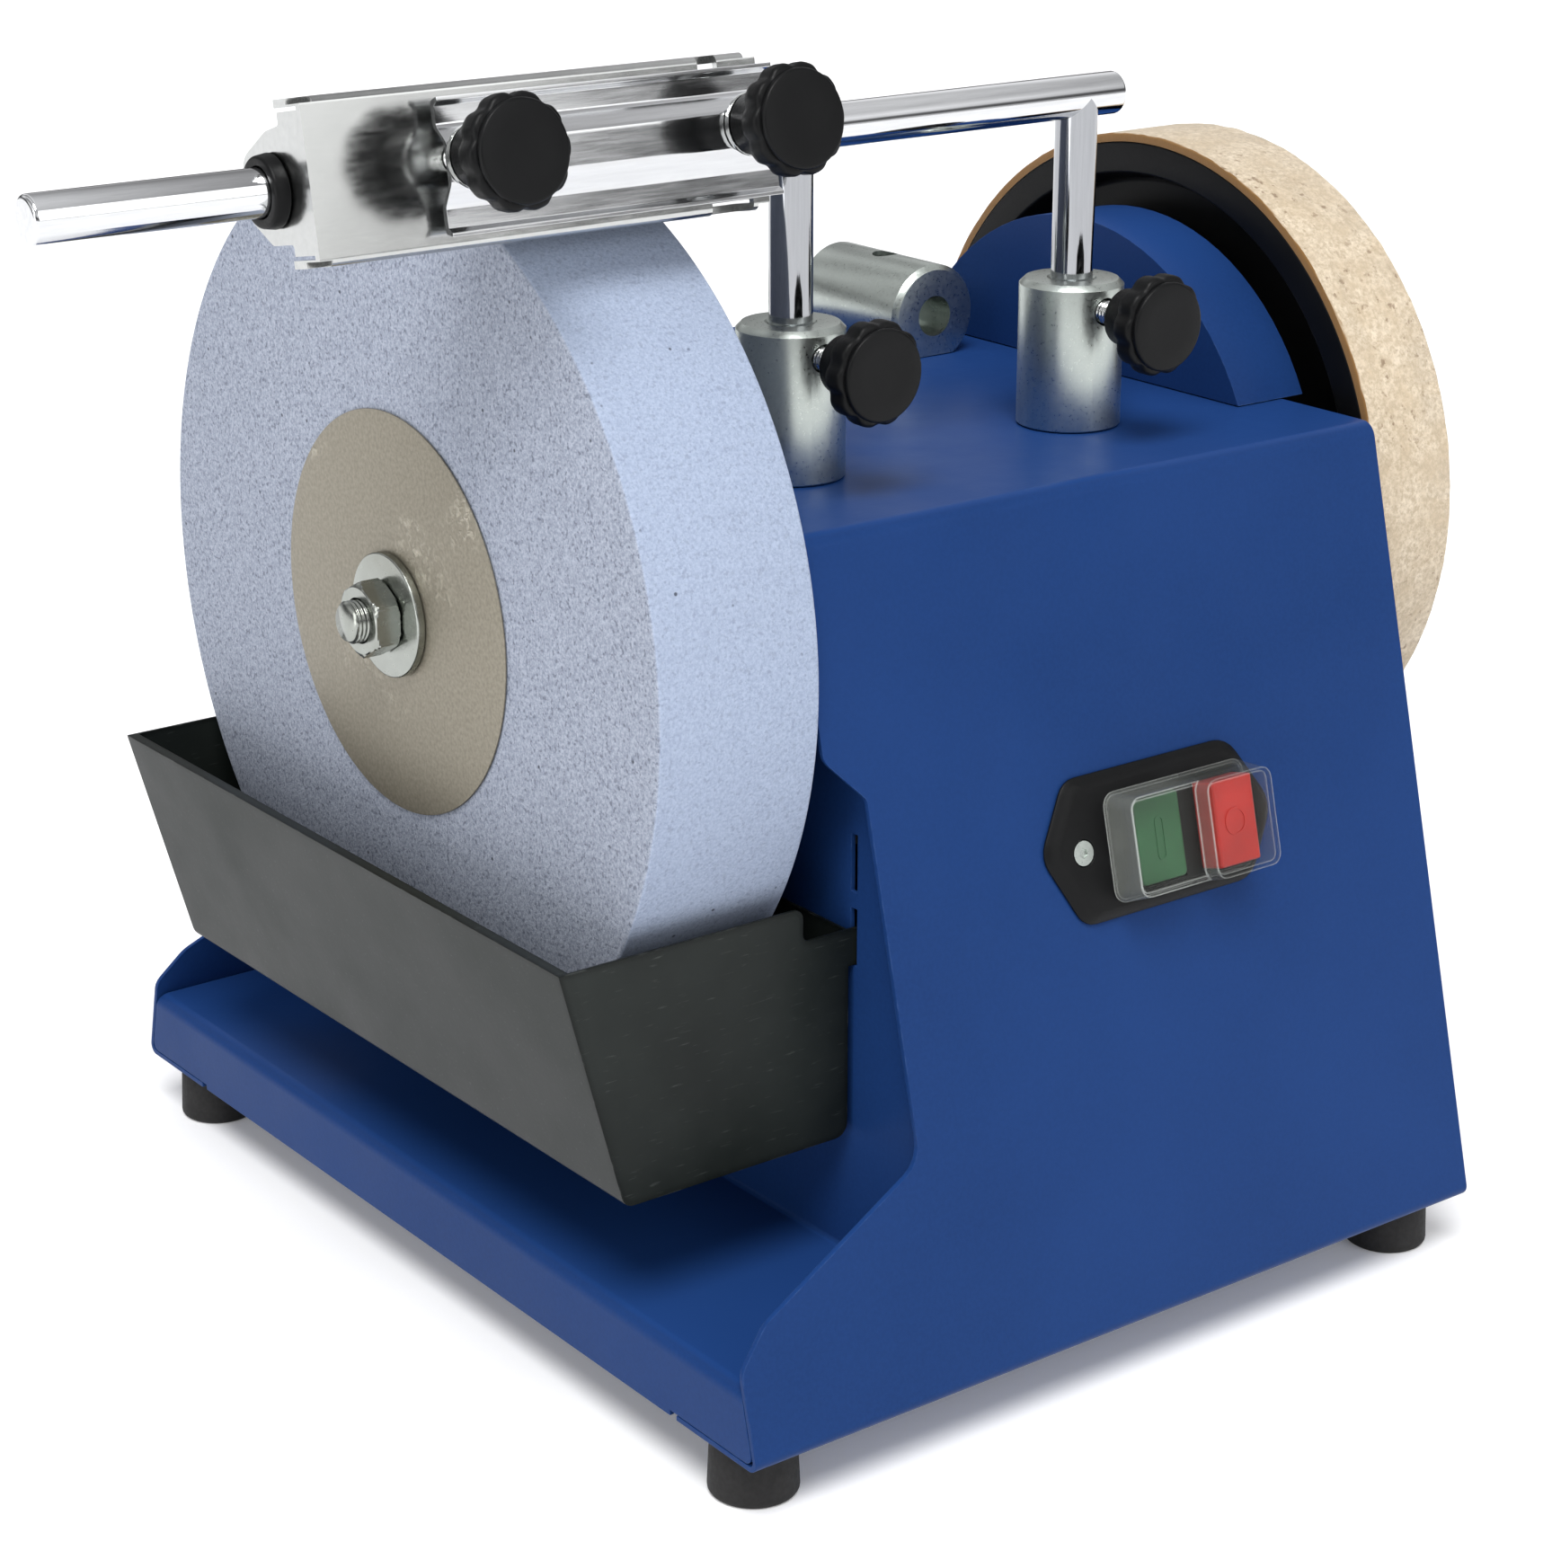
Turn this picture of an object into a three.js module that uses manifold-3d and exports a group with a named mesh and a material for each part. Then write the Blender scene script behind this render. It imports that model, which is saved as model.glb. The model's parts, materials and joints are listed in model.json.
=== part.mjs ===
// Wet grinding sharpener: a slow water-cooled grindstone on the left end of a shaft, a leather
// honing wheel on the right end, a friction-driven shaft in a folded steel housing, and a
// straight-edge jig on a height-adjustable support bar.
// Millimetres. +X runs along the shaft from the grindstone to the honing wheel, the switch panel
// faces -Y, +Z is up. The origin is under the middle of the machine, on the floor.
import * as THREE from "three";
import { mergeVertices } from "three/addons/utils/BufferGeometryUtils.js";
import Module from "manifold-3d";

const wasm = await Module();
wasm.setup();

// ---------------------------------------------------------------- driving dimensions
const GAP = 0.3; // clearance between touching pieces
const SHEET = 1.5; // housing steel

const SHAFT_Z = 207;
const SHAFT_R = 6;
const SHAFT_LEFT = -112;
const SHAFT_RIGHT = 222.6;

const STONE_R = 125;
const STONE_W = 50;
const STONE_X = -96; // outer face
const LABEL_R = 56.3;
const LABEL_T = 0.5;
const WASHER_R = 17.4;
const WASHER_T = 2.5;
const NUT_AF = 19;
const NUT_H = 8;

const HONE_X = 177.5; // inner face of the honing wheel
const HONE_W = 32.3;
const HONE_R = 104.2;
const LEATHER_T = 2.7;
const HONE_RIM = 9.5;

const DRUM_X = 152.5;
const DRUM_W = 9;
const DRUM_R = 75; // over the friction tyre
const TYRE_T = 5;

const TOP_Z = 243.3; // top plate
const TOP_HALF = 109.9; // half depth of the top plate
const BASE_Z = 17.3; // bottom edge of the folded panels
const BASE_HALF = 166.8; // half depth at the bottom edge
const TILT = Math.atan((BASE_HALF - TOP_HALF) / (TOP_Z - BASE_Z));
const BEND_R = 5;
const RIGHT_X = 167.5; // right edge of the panels
const TOP_LEFT_X = -44; // left edge of the top plate
const PANEL_LEFT_X = -32; // left edge of the front and back panels
const SHELF_LEFT_X = -97.4; // left edge of the base shelf
const SHELF_Z = 39.5; // shelf top
const WALL_X = -28; // outer face of the recessed left wall
const RIGHT_WALL_X = 164.3;
const FLANGE = 36; // in-turned foot flange of the panels

const FOOT_R = 12.4;
const FOOT_X = [-83.6, 154.3];
const FOOT_Y = 146.3;

const POST_X = [-3.7, 96.9];
const POST_Y = -56.7;
const POST_R = 6;
const POST_BORE = 6.3;
const SLEEVE_R = 15;
const SLEEVE_H = 42.1;
const CLAMP_Z = 278; // clamp knobs of the vertical sleeves
const BAR_Z = 336.7;
const BAR_LEFT = -222.6;
const BAR_RIGHT = 110.6;
const LEG_BOTTOM = 147;

const REAR_SLEEVE_X = [21, 121.6];
const REAR_SLEEVE_Y = [34, 84];
const REAR_SLEEVE_Z = 256;
const REAR_SLEEVE_R = 16;

const JIG_TILT = -THREE.MathUtils.degToRad(10.3);
const JIG_LEFT = -158;
const JIG_RIGHT = -26;
const JIG_FLOOR_RIGHT = -44; // where the lower half of the jig channel is cut back
const WEB_OUT = 17.6; // front face of the jig channel, ahead of the bar
const WEB_T = 2;
const JIG_TOP = 21;
const JIG_BOTTOM = -18.8;
const JIG_FLANGE = 12.6;
const CLAMP_PLATE_X = [-125, -26];
const CLAMP_PLATE_OPEN = 3.4; // gap between the jig's web and its clamp plate
const CLAMP_PLATE_RAISED = 8.6; // raised middle of the clamp plate, over its flat back
const JIG_STUD_X = [-118, -36.3];
const JIG_STUD_V = 3;
const JIG_WASHER_T = 1.6;
const JIG_KNOB_OUT = 50; // outer face of the jig knobs, ahead of the bar
const JIG_WASHER_Y = -(WEB_OUT + CLAMP_PLATE_OPEN + CLAMP_PLATE_RAISED - 3 + GAP);
const STUD_R = 3.4;
const KNOB_R = 14.2;
const KNOB_GRIP = 8.7; // length of the lobed part, with its round cap
const CLAMP_KNOB_Y = -97.5; // outer face of the sleeve clamp knobs
const CLAMP_HUB_Y = -79;

const HUMP_R = 82;
const HUMP_X = [149, 175.7];

const TRAY_HALF = 117.2;
const TRAY_T = 1;
const TRAY_TOP = 145.3;
const TRAY_BOTTOM = 75.5;
const TRAY_OUT_TOP = -122.1;
const TRAY_OUT_BOTTOM = -103.3;
const TRAY_RIGHT = -30;
const TRAY_NOTCH_X = -45.2;
const TRAY_NOTCH_Z = 135.7;
const HOOK_TOP = 135.7; // neck of the tray hooks where it passes the left wall
const HOOK_BOTTOM = 125;
const HOOK_DROP = 4; // how far a hook reaches down behind the wall
const HOOK_SLOT_W = 2.6;
const HOOK_SLOT_H = 16.3;
const HOOK_SLOT_PITCH = 21; // from the slots in use up to the spare ones

const SPINDLE_R = 8;
const MOTOR_Y = 45;
const MOTOR_Z = SHAFT_Z - Math.sqrt((DRUM_R + SPINDLE_R + GAP) ** 2 - MOTOR_Y ** 2);
const MOTOR_R = 50;
const MOTOR_X = [26, 132];
const PIVOT_Y = 24;
const PIVOT_Z = 219;
const PIVOT_R = 4;
const PIVOT_LUG_X = [22, 127]; // hanger lugs on the motor, each one lug thick
const LUG_T = 5;

const BUSH_R = 12; // plain bearings in the side walls
const GLAND = { x: 120, z: 70 }; // cable inlet in the back panel

// Switch, measured along the panel from its left side and down from the top bend line.
const PLATE_OUT = 3.5; // how far each face stands ahead of the panel
const BLOCK_OUT = 5.6;
const GREEN_OUT = 6.4;
const RED_OUT = 12;
const HOOD_OUT = [13, 17]; // over the green and over the red button
const BLOCK_X = [49.5, 93];
const BLOCK_Z = [-112.9, -86.2];
const BUTTONS = [[52, 68.5], [75.3, 91.2]];
const BUTTON_Z = [-87.4, -111.7];
const SWITCH_SCREW = [35, -98.6];

// ---------------------------------------------------------------- solid tools

// A closed geometry as a solid, whichever way its faces were wound.
function solid(geometry) {
  const bare = geometry.clone();
  bare.deleteAttribute("normal");
  bare.deleteAttribute("uv");
  const merged = mergeVertices(bare, 1e-4);
  const p = merged.attributes.position;
  const tris = [];
  let volume = 0;
  const v = [0, 1, 2].map(() => new THREE.Vector3());
  for (let i = 0; i < merged.index.count; i += 3) {
    const t = [0, 1, 2].map((k) => merged.index.getX(i + k));
    if (t[0] === t[1] || t[1] === t[2] || t[0] === t[2]) continue;
    t.forEach((k, j) => v[j].fromBufferAttribute(p, k));
    volume += v[0].dot(v[1].clone().cross(v[2]));
    tris.push(t);
  }
  const wound = volume < 0 ? tris.map(([a, b, c]) => [a, c, b]) : tris;
  return new wasm.Manifold(
    new wasm.Mesh({
      numProp: 3,
      vertProperties: new Float32Array(p.array),
      triVerts: new Uint32Array(wound.flat()),
    }),
  );
}

function union(...solids) {
  return solids.reduce((a, b) => a.add(b));
}

function cut(body, ...tools) {
  return tools.reduce((a, b) => a.subtract(b), body);
}

// A box between two corners.
function box(x0, x1, y0, y1, z0, z1) {
  const g = new THREE.BoxGeometry(x1 - x0, y1 - y0, z1 - z0);
  return solid(g.translate((x0 + x1) / 2, (y0 + y1) / 2, (z0 + z1) / 2));
}

// A cylinder from a to b along one axis; the other two coordinates are its centre.
function rodX(r, a, b, y, z, sides = 32) {
  const g = new THREE.CylinderGeometry(r, r, b - a, sides).rotateZ(Math.PI / 2);
  return solid(g.translate((a + b) / 2, y, z));
}

function rodY(r, a, b, x, z, sides = 32) {
  return solid(new THREE.CylinderGeometry(r, r, b - a, sides).translate(x, (a + b) / 2, z));
}

function rodZ(r, a, b, x, y, sides = 32) {
  const g = new THREE.CylinderGeometry(r, r, b - a, sides).rotateX(Math.PI / 2);
  return solid(g.translate(x, y, (a + b) / 2));
}

// A turned piece about the X axis through (y, z), from a closed profile of [x, radius] points.
function turnedX(profile, y, z, sides = 48) {
  const points = [...profile, profile[0]].map(([x, r]) => new THREE.Vector2(r, x));
  return solid(new THREE.LatheGeometry(points, sides).rotateZ(-Math.PI / 2).translate(0, y, z));
}

// A turned piece about a vertical axis, from a closed profile of [radius, z] points.
function turnedZ(profile, x, y, sides = 32) {
  const points = [...profile, profile[0]].map(([r, z]) => new THREE.Vector2(r, z));
  return solid(new THREE.LatheGeometry(points, sides).rotateX(Math.PI / 2).translate(x, y, 0));
}

// A plane outline as a shape; a third number on a point rounds that corner by a radius.
function outline(points) {
  const shape = new THREE.Shape();
  const n = points.length;
  points.forEach(([px, py, radius = 0], i) => {
    const here = new THREE.Vector2(px, py);
    if (!radius) {
      if (i === 0) shape.moveTo(px, py);
      else shape.lineTo(px, py);
      return;
    }
    const before = new THREE.Vector2(...points[(i + n - 1) % n].slice(0, 2)).sub(here).normalize();
    const after = new THREE.Vector2(...points[(i + 1) % n].slice(0, 2)).sub(here).normalize();
    const half = Math.acos(THREE.MathUtils.clamp(before.dot(after), -1, 1)) / 2;
    const reach = radius / Math.tan(half);
    const start = here.clone().addScaledVector(before, reach);
    const end = here.clone().addScaledVector(after, reach);
    const centre = before.clone().add(after).normalize().multiplyScalar(radius / Math.sin(half)).add(here);
    const a0 = Math.atan2(start.y - centre.y, start.x - centre.x);
    let sweep = Math.atan2(end.y - centre.y, end.x - centre.x) - a0;
    if (sweep > Math.PI) sweep -= 2 * Math.PI;
    if (sweep < -Math.PI) sweep += 2 * Math.PI;
    const steps = Math.max(3, Math.ceil(Math.abs(sweep) / 0.3));
    for (let k = 0; k <= steps; k += 1) {
      const a = a0 + (sweep * k) / steps;
      const x = centre.x + radius * Math.cos(a);
      const y = centre.y + radius * Math.sin(a);
      if (i === 0 && k === 0) shape.moveTo(x, y);
      else shape.lineTo(x, y);
    }
  });
  return shape;
}

function slab(shape, depth) {
  return new THREE.ExtrudeGeometry(shape, { depth, bevelEnabled: false, curveSegments: 16 });
}

// An outline of [y, z] points drawn out along X, or of [x, z] points drawn out along Y.
function alongX(points, x0, x1) {
  const g = slab(outline(points), x1 - x0);
  const basis = new THREE.Matrix4().makeBasis(
    new THREE.Vector3(0, 1, 0),
    new THREE.Vector3(0, 0, 1),
    new THREE.Vector3(1, 0, 0),
  );
  return solid(g.applyMatrix4(basis).translate(x0, 0, 0));
}

function alongY(points, y0, y1) {
  const g = slab(outline(points), y1 - y0).rotateX(Math.PI / 2);
  return solid(g.translate(0, y1, 0));
}

function alongZ(points, z0, z1) {
  return solid(slab(outline(points), z1 - z0).translate(0, 0, z0));
}

// A convex solid stretched over smaller ones.
function hull(...solids) {
  return wasm.Manifold.hull(solids);
}

// A regular hexagon outline of a given across-flats size.
function hexagon(flats, cy = 0, cz = 0) {
  const r = flats / Math.sqrt(3);
  return [0, 1, 2, 3, 4, 5].map((k) => {
    const a = (k * Math.PI) / 3 + Math.PI / 6;
    return [cy + r * Math.cos(a), cz + r * Math.sin(a)];
  });
}

// The part of a disc about the shaft that stands above a level, as an outline.
function discAbove(radius, level) {
  const a0 = Math.asin((level - SHAFT_Z) / radius);
  const steps = 30;
  return Array.from({ length: steps + 1 }, (_, k) => {
    const a = a0 + ((Math.PI - 2 * a0) * k) / steps;
    return [radius * Math.cos(a), SHAFT_Z + radius * Math.sin(a)];
  });
}

// Moves a solid built ahead of a hinge line (front is -Y, up is +Z) onto that line, turned.
function placed(body, angle, y, z) {
  const turn = new THREE.Matrix4().makeRotationX(angle);
  const move = new THREE.Matrix4().makeTranslation(0, y, z);
  return body.transform(move.multiply(turn).toArray());
}

const onPanel = (body) => placed(body, -TILT, -TOP_HALF, TOP_Z);
const onJig = (body) => placed(body, JIG_TILT, POST_Y, BAR_Z);

// ---------------------------------------------------------------- colours

const PAINT = { color: 0x2f4f8f, roughness: 0.45, metalness: 0.1 };
const BLACK_PAINT = { color: 0x34383a, roughness: 0.5, metalness: 0.1 };
const STEEL = { color: 0xb4b8b6, roughness: 0.35, metalness: 0.9 };
const CHROME = { color: 0xdfe2e4, roughness: 0.12, metalness: 1 };
const ZINC = { color: 0xc9ccce, roughness: 0.28, metalness: 0.9 };
const ALUMINIUM = { color: 0xd2d4d6, roughness: 0.25, metalness: 0.9 };
const BLACK_PLASTIC = { color: 0x202226, roughness: 0.5, metalness: 0 };
const RUBBER = { color: 0x1b1b1c, roughness: 0.85, metalness: 0 };
const STONE = { color: 0x9aa8c4, roughness: 0.95, metalness: 0 };
const PAPER = { color: 0xa8a08c, roughness: 0.8, metalness: 0 };
const LEATHER = { color: 0xd9c4a2, roughness: 0.8, metalness: 0 };
const GREEN = { color: 0x2f7a4c, roughness: 0.4, metalness: 0 };
const RED = { color: 0xc8372c, roughness: 0.35, metalness: 0 };
const CLEAR = { color: 0x9aa29e, roughness: 0.15, metalness: 0, transparent: true, opacity: 0.4 };
const CASTING = { color: 0x8d9194, roughness: 0.6, metalness: 0.7 };
const BRONZE = { color: 0xa8763e, roughness: 0.4, metalness: 0.85 };

const part = new THREE.Group();
part.name = "wet_grinding_sharpener";

function add(name, body, material) {
  const made = body.getMesh();
  const g = new THREE.BufferGeometry();
  g.setAttribute("position", new THREE.BufferAttribute(made.vertProperties, 3));
  g.setIndex(new THREE.BufferAttribute(made.triVerts, 1));
  g.computeVertexNormals();
  const mesh = new THREE.Mesh(g, new THREE.MeshStandardMaterial(material));
  mesh.name = name;
  part.add(mesh);
}

// ---------------------------------------------------------------- housing

// Half depth of the housing's outside at a height.
function halfDepth(z) {
  return TOP_HALF + (TOP_Z - z) * Math.tan(TILT);
}

// The room between the front and back panels, less a clearance, as a [y, z] outline.
function insideOutline(z0, z1, clearance) {
  const wall = SHEET / Math.cos(TILT) + clearance;
  const low = halfDepth(z0) - wall;
  const high = halfDepth(z1) - wall;
  return [[-low, z0, 2.5], [low, z0, 2.5], [high, z1, 5], [-high, z1, 5]];
}

// Front panel, top plate and back panel folded from one sheet, with in-turned foot flanges.
function housingCover() {
  const inner = SHEET / Math.cos(TILT);
  const foot = BASE_HALF - FLANGE;
  const lowZ = BASE_Z + SHEET;
  const highZ = TOP_Z - SHEET;
  const sheet = alongX([
    [-foot, BASE_Z], [-BASE_HALF, BASE_Z, 3], [-TOP_HALF, TOP_Z, BEND_R],
    [TOP_HALF, TOP_Z, BEND_R], [BASE_HALF, BASE_Z, 3], [foot, BASE_Z],
    [foot, lowZ], [halfDepth(lowZ) - inner, lowZ, 1.5], [halfDepth(highZ) - inner, highZ, 3.5],
    [inner - halfDepth(highZ), highZ, 3.5], [inner - halfDepth(lowZ), lowZ, 1.5], [-foot, lowZ],
  ], SHELF_LEFT_X, RIGHT_X);
  const panel = alongY([
    [TOP_LEFT_X, TOP_Z + 5], [TOP_LEFT_X, 187.4, 5], [PANEL_LEFT_X, 175.4, 3],
    [PANEL_LEFT_X, 81, 9], [-88, 54, 12], [SHELF_LEFT_X, 44, 6],
    [SHELF_LEFT_X, BASE_Z - 5], [RIGHT_X + 5, BASE_Z - 5], [RIGHT_X + 5, TOP_Z + 5],
  ], -200, 200);
  const legs = POST_X.map((x) => rodZ(POST_BORE + 0.5, TOP_Z - 20, TOP_Z + 5, x, POST_Y));
  const drumSlot = box(DRUM_X - 1.6, DRUM_X + DRUM_W + 1.6, -69, 69, TOP_Z - 5, TOP_Z + 5);
  const switchHole = onPanel(box(BLOCK_X[0] - 0.5, BLOCK_X[1] + 0.5, -5, 20,
    BLOCK_Z[0] - 0.5, BLOCK_Z[1] + 0.5));
  const glandHole = rodY(9.3, 100, 200, GLAND.x, GLAND.z, 24);
  return cut(sheet.intersect(panel), ...legs, drumSlot, switchHole, glandHole);
}

// Recessed left wall, shelf under the grindstone and its down-turned lip, one folded sheet.
function leftWallAndShelf() {
  const sheet = alongY([
    [WALL_X, TOP_Z - SHEET - GAP], [WALL_X, SHELF_Z, 1.5], [SHELF_LEFT_X, SHELF_Z, 4],
    [SHELF_LEFT_X, BASE_Z + 0.2], [SHELF_LEFT_X + SHEET, BASE_Z + 0.2],
    [SHELF_LEFT_X + SHEET, SHELF_Z - SHEET, 2.5], [WALL_X + SHEET, SHELF_Z - SHEET, 3],
    [WALL_X + SHEET, TOP_Z - SHEET - GAP],
  ], -200, 200);
  const room = alongX(insideOutline(BASE_Z + SHEET + GAP, TOP_Z - SHEET - GAP, GAP), -150, 200);
  const lipRoom = box(-150, -90, -128, 128, 0, SHELF_Z + 5);
  const shaftHole = rodX(BUSH_R + GAP, WALL_X - 5, WALL_X + 8, 0, SHAFT_Z);
  const slotZ = HOOK_BOTTOM - GAP;
  const slots = [-1, 1].flatMap((side) =>
    [slotZ, slotZ + HOOK_SLOT_PITCH].map((z) => {
      const y = side * (TRAY_HALF - TRAY_T / 2);
      const half = HOOK_SLOT_W / 2;
      return box(WALL_X - 5, WALL_X + 8, y - half, y + half, z, z + HOOK_SLOT_H);
    }),
  );
  return cut(sheet.intersect(union(room, lipRoom)), shaftHole, ...slots);
}

function rightWall() {
  const z0 = BASE_Z + SHEET + GAP;
  const z1 = TOP_Z - SHEET - GAP;
  const plate = alongX(insideOutline(z0, z1, GAP), RIGHT_WALL_X, RIGHT_WALL_X + SHEET);
  return cut(plate, rodX(BUSH_R + GAP, RIGHT_WALL_X - 5, RIGHT_WALL_X + 8, 0, SHAFT_Z));
}

// Loose floor plate resting on the foot flanges, slotted for motor cooling.
function bottomPlate() {
  const z0 = BASE_Z + SHEET + GAP;
  const half = halfDepth(z0 + SHEET) - SHEET / Math.cos(TILT) - 1;
  const plate = box(WALL_X + SHEET + GAP, RIGHT_WALL_X - GAP, -half, half, z0, z0 + SHEET);
  const slots = [0, 1, 2, 3, 4, 5].map((k) => {
    const x = 40 + 14 * k;
    return box(x, x + 6, 10, 90, z0 - 5, z0 + 5);
  });
  return cut(plate, ...slots);
}

// Half-round cover over the drive drum where it rises through the top plate.
function humpCover() {
  const z = TOP_Z + GAP;
  const [x0, x1] = HUMP_X;
  const shell = alongX(discAbove(HUMP_R, z), x0, x1);
  const room = alongX(discAbove(HUMP_R - SHEET, z - 8), x0 + SHEET, x1 - SHEET);
  return cut(shell, room);
}

function foot(x, y) {
  return turnedZ([
    [0, 4], [3.5, 4], [3.5, 0], [FOOT_R - 1.5, 0], [FOOT_R, 1.5],
    [FOOT_R - 1, BASE_Z - GAP], [0, BASE_Z - GAP],
  ], x, y, 32);
}

// ---------------------------------------------------------------- support sleeves and clamps

function verticalSleeve(x) {
  const z = TOP_Z + GAP;
  const tube = turnedZ([
    [POST_BORE, z], [SLEEVE_R, z], [SLEEVE_R, z + SLEEVE_H - 1.5],
    [SLEEVE_R - 1.5, z + SLEEVE_H], [POST_BORE + 1, z + SLEEVE_H], [POST_BORE, z + SLEEVE_H - 1],
  ], x, POST_Y, 40);
  return cut(tube, rodY(STUD_R + GAP, POST_Y - SLEEVE_R - 5, POST_Y, x, CLAMP_Z, 20));
}

// Sleeve lying on the top plate for the support's other position, with a flat underneath.
function rearSleeve(x) {
  const [y0, y1] = REAR_SLEEVE_Y;
  const z = REAR_SLEEVE_Z;
  const tube = rodY(REAR_SLEEVE_R, y0, y1, x, z, 40);
  const bore = rodY(POST_BORE, y0 - 5, y1 + 5, x, z, 28);
  const below = box(x - 20, x + 20, y0 - 5, y1 + 5, z - 40, TOP_Z + GAP);
  const screwHole = rodZ(STUD_R + GAP, z, z + 30, x, (y0 + y1) / 2, 20);
  return cut(tube, bore, below, screwHole);
}

// Lobed clamp knob about a Y axis at (x, z): round face, scalloped grip, plain hub, blind bore.
function starKnob(x, z, face, hubEnd) {
  const lobes = 10;
  const steps = lobes * 6;
  const grip = Array.from({ length: steps }, (_, k) => {
    const a = (2 * Math.PI * k) / steps;
    const r = KNOB_R - 0.7 + 0.7 * Math.cos(lobes * a);
    return [x + r * Math.cos(a), z + r * Math.sin(a)];
  });
  const body = union(
    alongY(grip, face + 1.2, face + KNOB_GRIP),
    rodY(KNOB_R - 1.6, face, face + 2, x, z, 36),
    rodY(8, face + KNOB_GRIP - 1, hubEnd, x, z, 24),
  );
  return cut(body, rodY(STUD_R + GAP, face + 4, hubEnd + 5, x, z, 20));
}

function leg(x) {
  const rod = rodZ(POST_R, LEG_BOTTOM, BAR_Z, x, POST_Y, 28);
  return cut(rod, rodX(POST_R + GAP, BAR_LEFT, BAR_RIGHT + 5, POST_Y, BAR_Z, 28));
}

function supportBar() {
  return turnedX([
    [BAR_LEFT, 0], [BAR_LEFT, POST_R - 1.2], [BAR_LEFT + 1.2, POST_R],
    [BAR_RIGHT - 1.2, POST_R], [BAR_RIGHT, POST_R - 1.2], [BAR_RIGHT, 0],
  ], POST_Y, BAR_Z, 28);
}

// ---------------------------------------------------------------- straight-edge jig
// Built with the bar on the X axis: front is -Y, up is +Z.

// Folded channel whose end tabs wrap round the support bar.
function jigBody() {
  const web = -WEB_OUT;
  const back = web + JIG_FLANGE;
  const inside = web + WEB_T;
  const channel = alongX([
    [back, JIG_TOP], [web, JIG_TOP, 2], [web, JIG_BOTTOM, 2], [back, JIG_BOTTOM],
    [back, JIG_BOTTOM + WEB_T], [inside, JIG_BOTTOM + WEB_T], [inside, JIG_TOP - WEB_T],
    [back, JIG_TOP - WEB_T],
  ], JIG_LEFT, JIG_RIGHT);
  const tab = (x) => alongX([
    [inside - 0.5, JIG_TOP - 3], [back - 1, JIG_TOP - 3], [back - 1, 15, 1], [1, 14, 2],
    [14.5, 8, 6], [14.5, -6, 6], [4, -13, 3], [back - 1, -13, 1],
    [back - 1, JIG_BOTTOM + 3], [inside - 0.5, JIG_BOTTOM + 3],
  ], x, x + WEB_T);
  const cutBack = box(JIG_FLOOR_RIGHT, JIG_RIGHT - 5, -40, back - 4, -40, JIG_BOTTOM + WEB_T + 1);
  const notch = box(JIG_FLOOR_RIGHT, JIG_FLOOR_RIGHT + 6, -40, back - 8, 15, 40);
  const corners = [JIG_LEFT, JIG_RIGHT - 2.5].map((x) =>
    union(
      box(x - 1, x + 3.5, web - 1, back - 6, JIG_TOP - 1.5, 40),
      box(x - 1, x + 3.5, web - 1, back - 6, -40, JIG_BOTTOM + 1.5),
    ),
  );
  const bushHoles = rodX(7.9 + GAP, JIG_LEFT - 5, JIG_RIGHT + 5, 0, 0, 32);
  const studHoles = JIG_STUD_X.map((x) => rodY(STUD_R + GAP, -40, 0, x, JIG_STUD_V, 20));
  const body = union(channel, tab(JIG_LEFT), tab(JIG_RIGHT - WEB_T));
  return onJig(cut(body, cutBack, notch, ...corners, bushHoles, ...studHoles));
}

// Flanged plastic bush that lets the jig slide and turn on the bar.
function jigBush(tabX, outward) {
  const face = tabX + outward * GAP;
  const collar = [[face, 9.2], [face + outward * 4, 8.6], [face + outward * 4, POST_BORE]];
  const nose = [[tabX - outward * 5, POST_BORE], [tabX - outward * 5, 7.9], [face, 7.9]];
  return turnedX([...collar, ...nose], POST_Y, BAR_Z, 32);
}

// Pressed clamp plate with a raised middle and out-turned lips, held off the web by its studs.
function clampPlate() {
  const back = -(WEB_OUT + CLAMP_PLATE_OPEN);
  const land = back - 1.6;
  const lip = back - 3.2;
  const raised = back + 3 - CLAMP_PLATE_RAISED;
  const profile = [
    [back, 16.9, 1], [lip, 17.7], [lip, 16.6], [land, 15.6], [land, 10.8, 2], [raised, 6.6, 3],
    [raised, -2.8, 3], [land, -8.4, 2], [land, -13.4], [lip, -14.4], [lip, -15.4],
    [back, -14.7, 1], [back, -8.2, 2], [raised + 1.6, -3.4, 3], [raised + 1.6, 7.2, 3],
    [back, 10.6, 2],
  ];
  const plate = alongX(profile, ...CLAMP_PLATE_X);
  const holes = JIG_STUD_X.map((x) => rodY(STUD_R + GAP, -40, 0, x, JIG_STUD_V, 20));
  return onJig(cut(plate, ...holes));
}

// Carriage bolt: its head sits behind the channel web, its thread reaches into the knob.
function jigStud(x) {
  const headFace = -WEB_OUT + WEB_T + GAP;
  return onJig(union(
    rodY(STUD_R, 4.5 - JIG_KNOB_OUT, headFace + 1, x, JIG_STUD_V, 20),
    rodY(6.5, headFace, headFace + 3, x, JIG_STUD_V, 24),
  ));
}

function jigWasher(x) {
  return onJig(cut(rodY(8, JIG_WASHER_Y - JIG_WASHER_T, JIG_WASHER_Y, x, JIG_STUD_V, 28),
    rodY(STUD_R + GAP, JIG_WASHER_Y - 5, JIG_WASHER_Y + 5, x, JIG_STUD_V, 20)));
}

// ---------------------------------------------------------------- wheels on the main shaft

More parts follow.
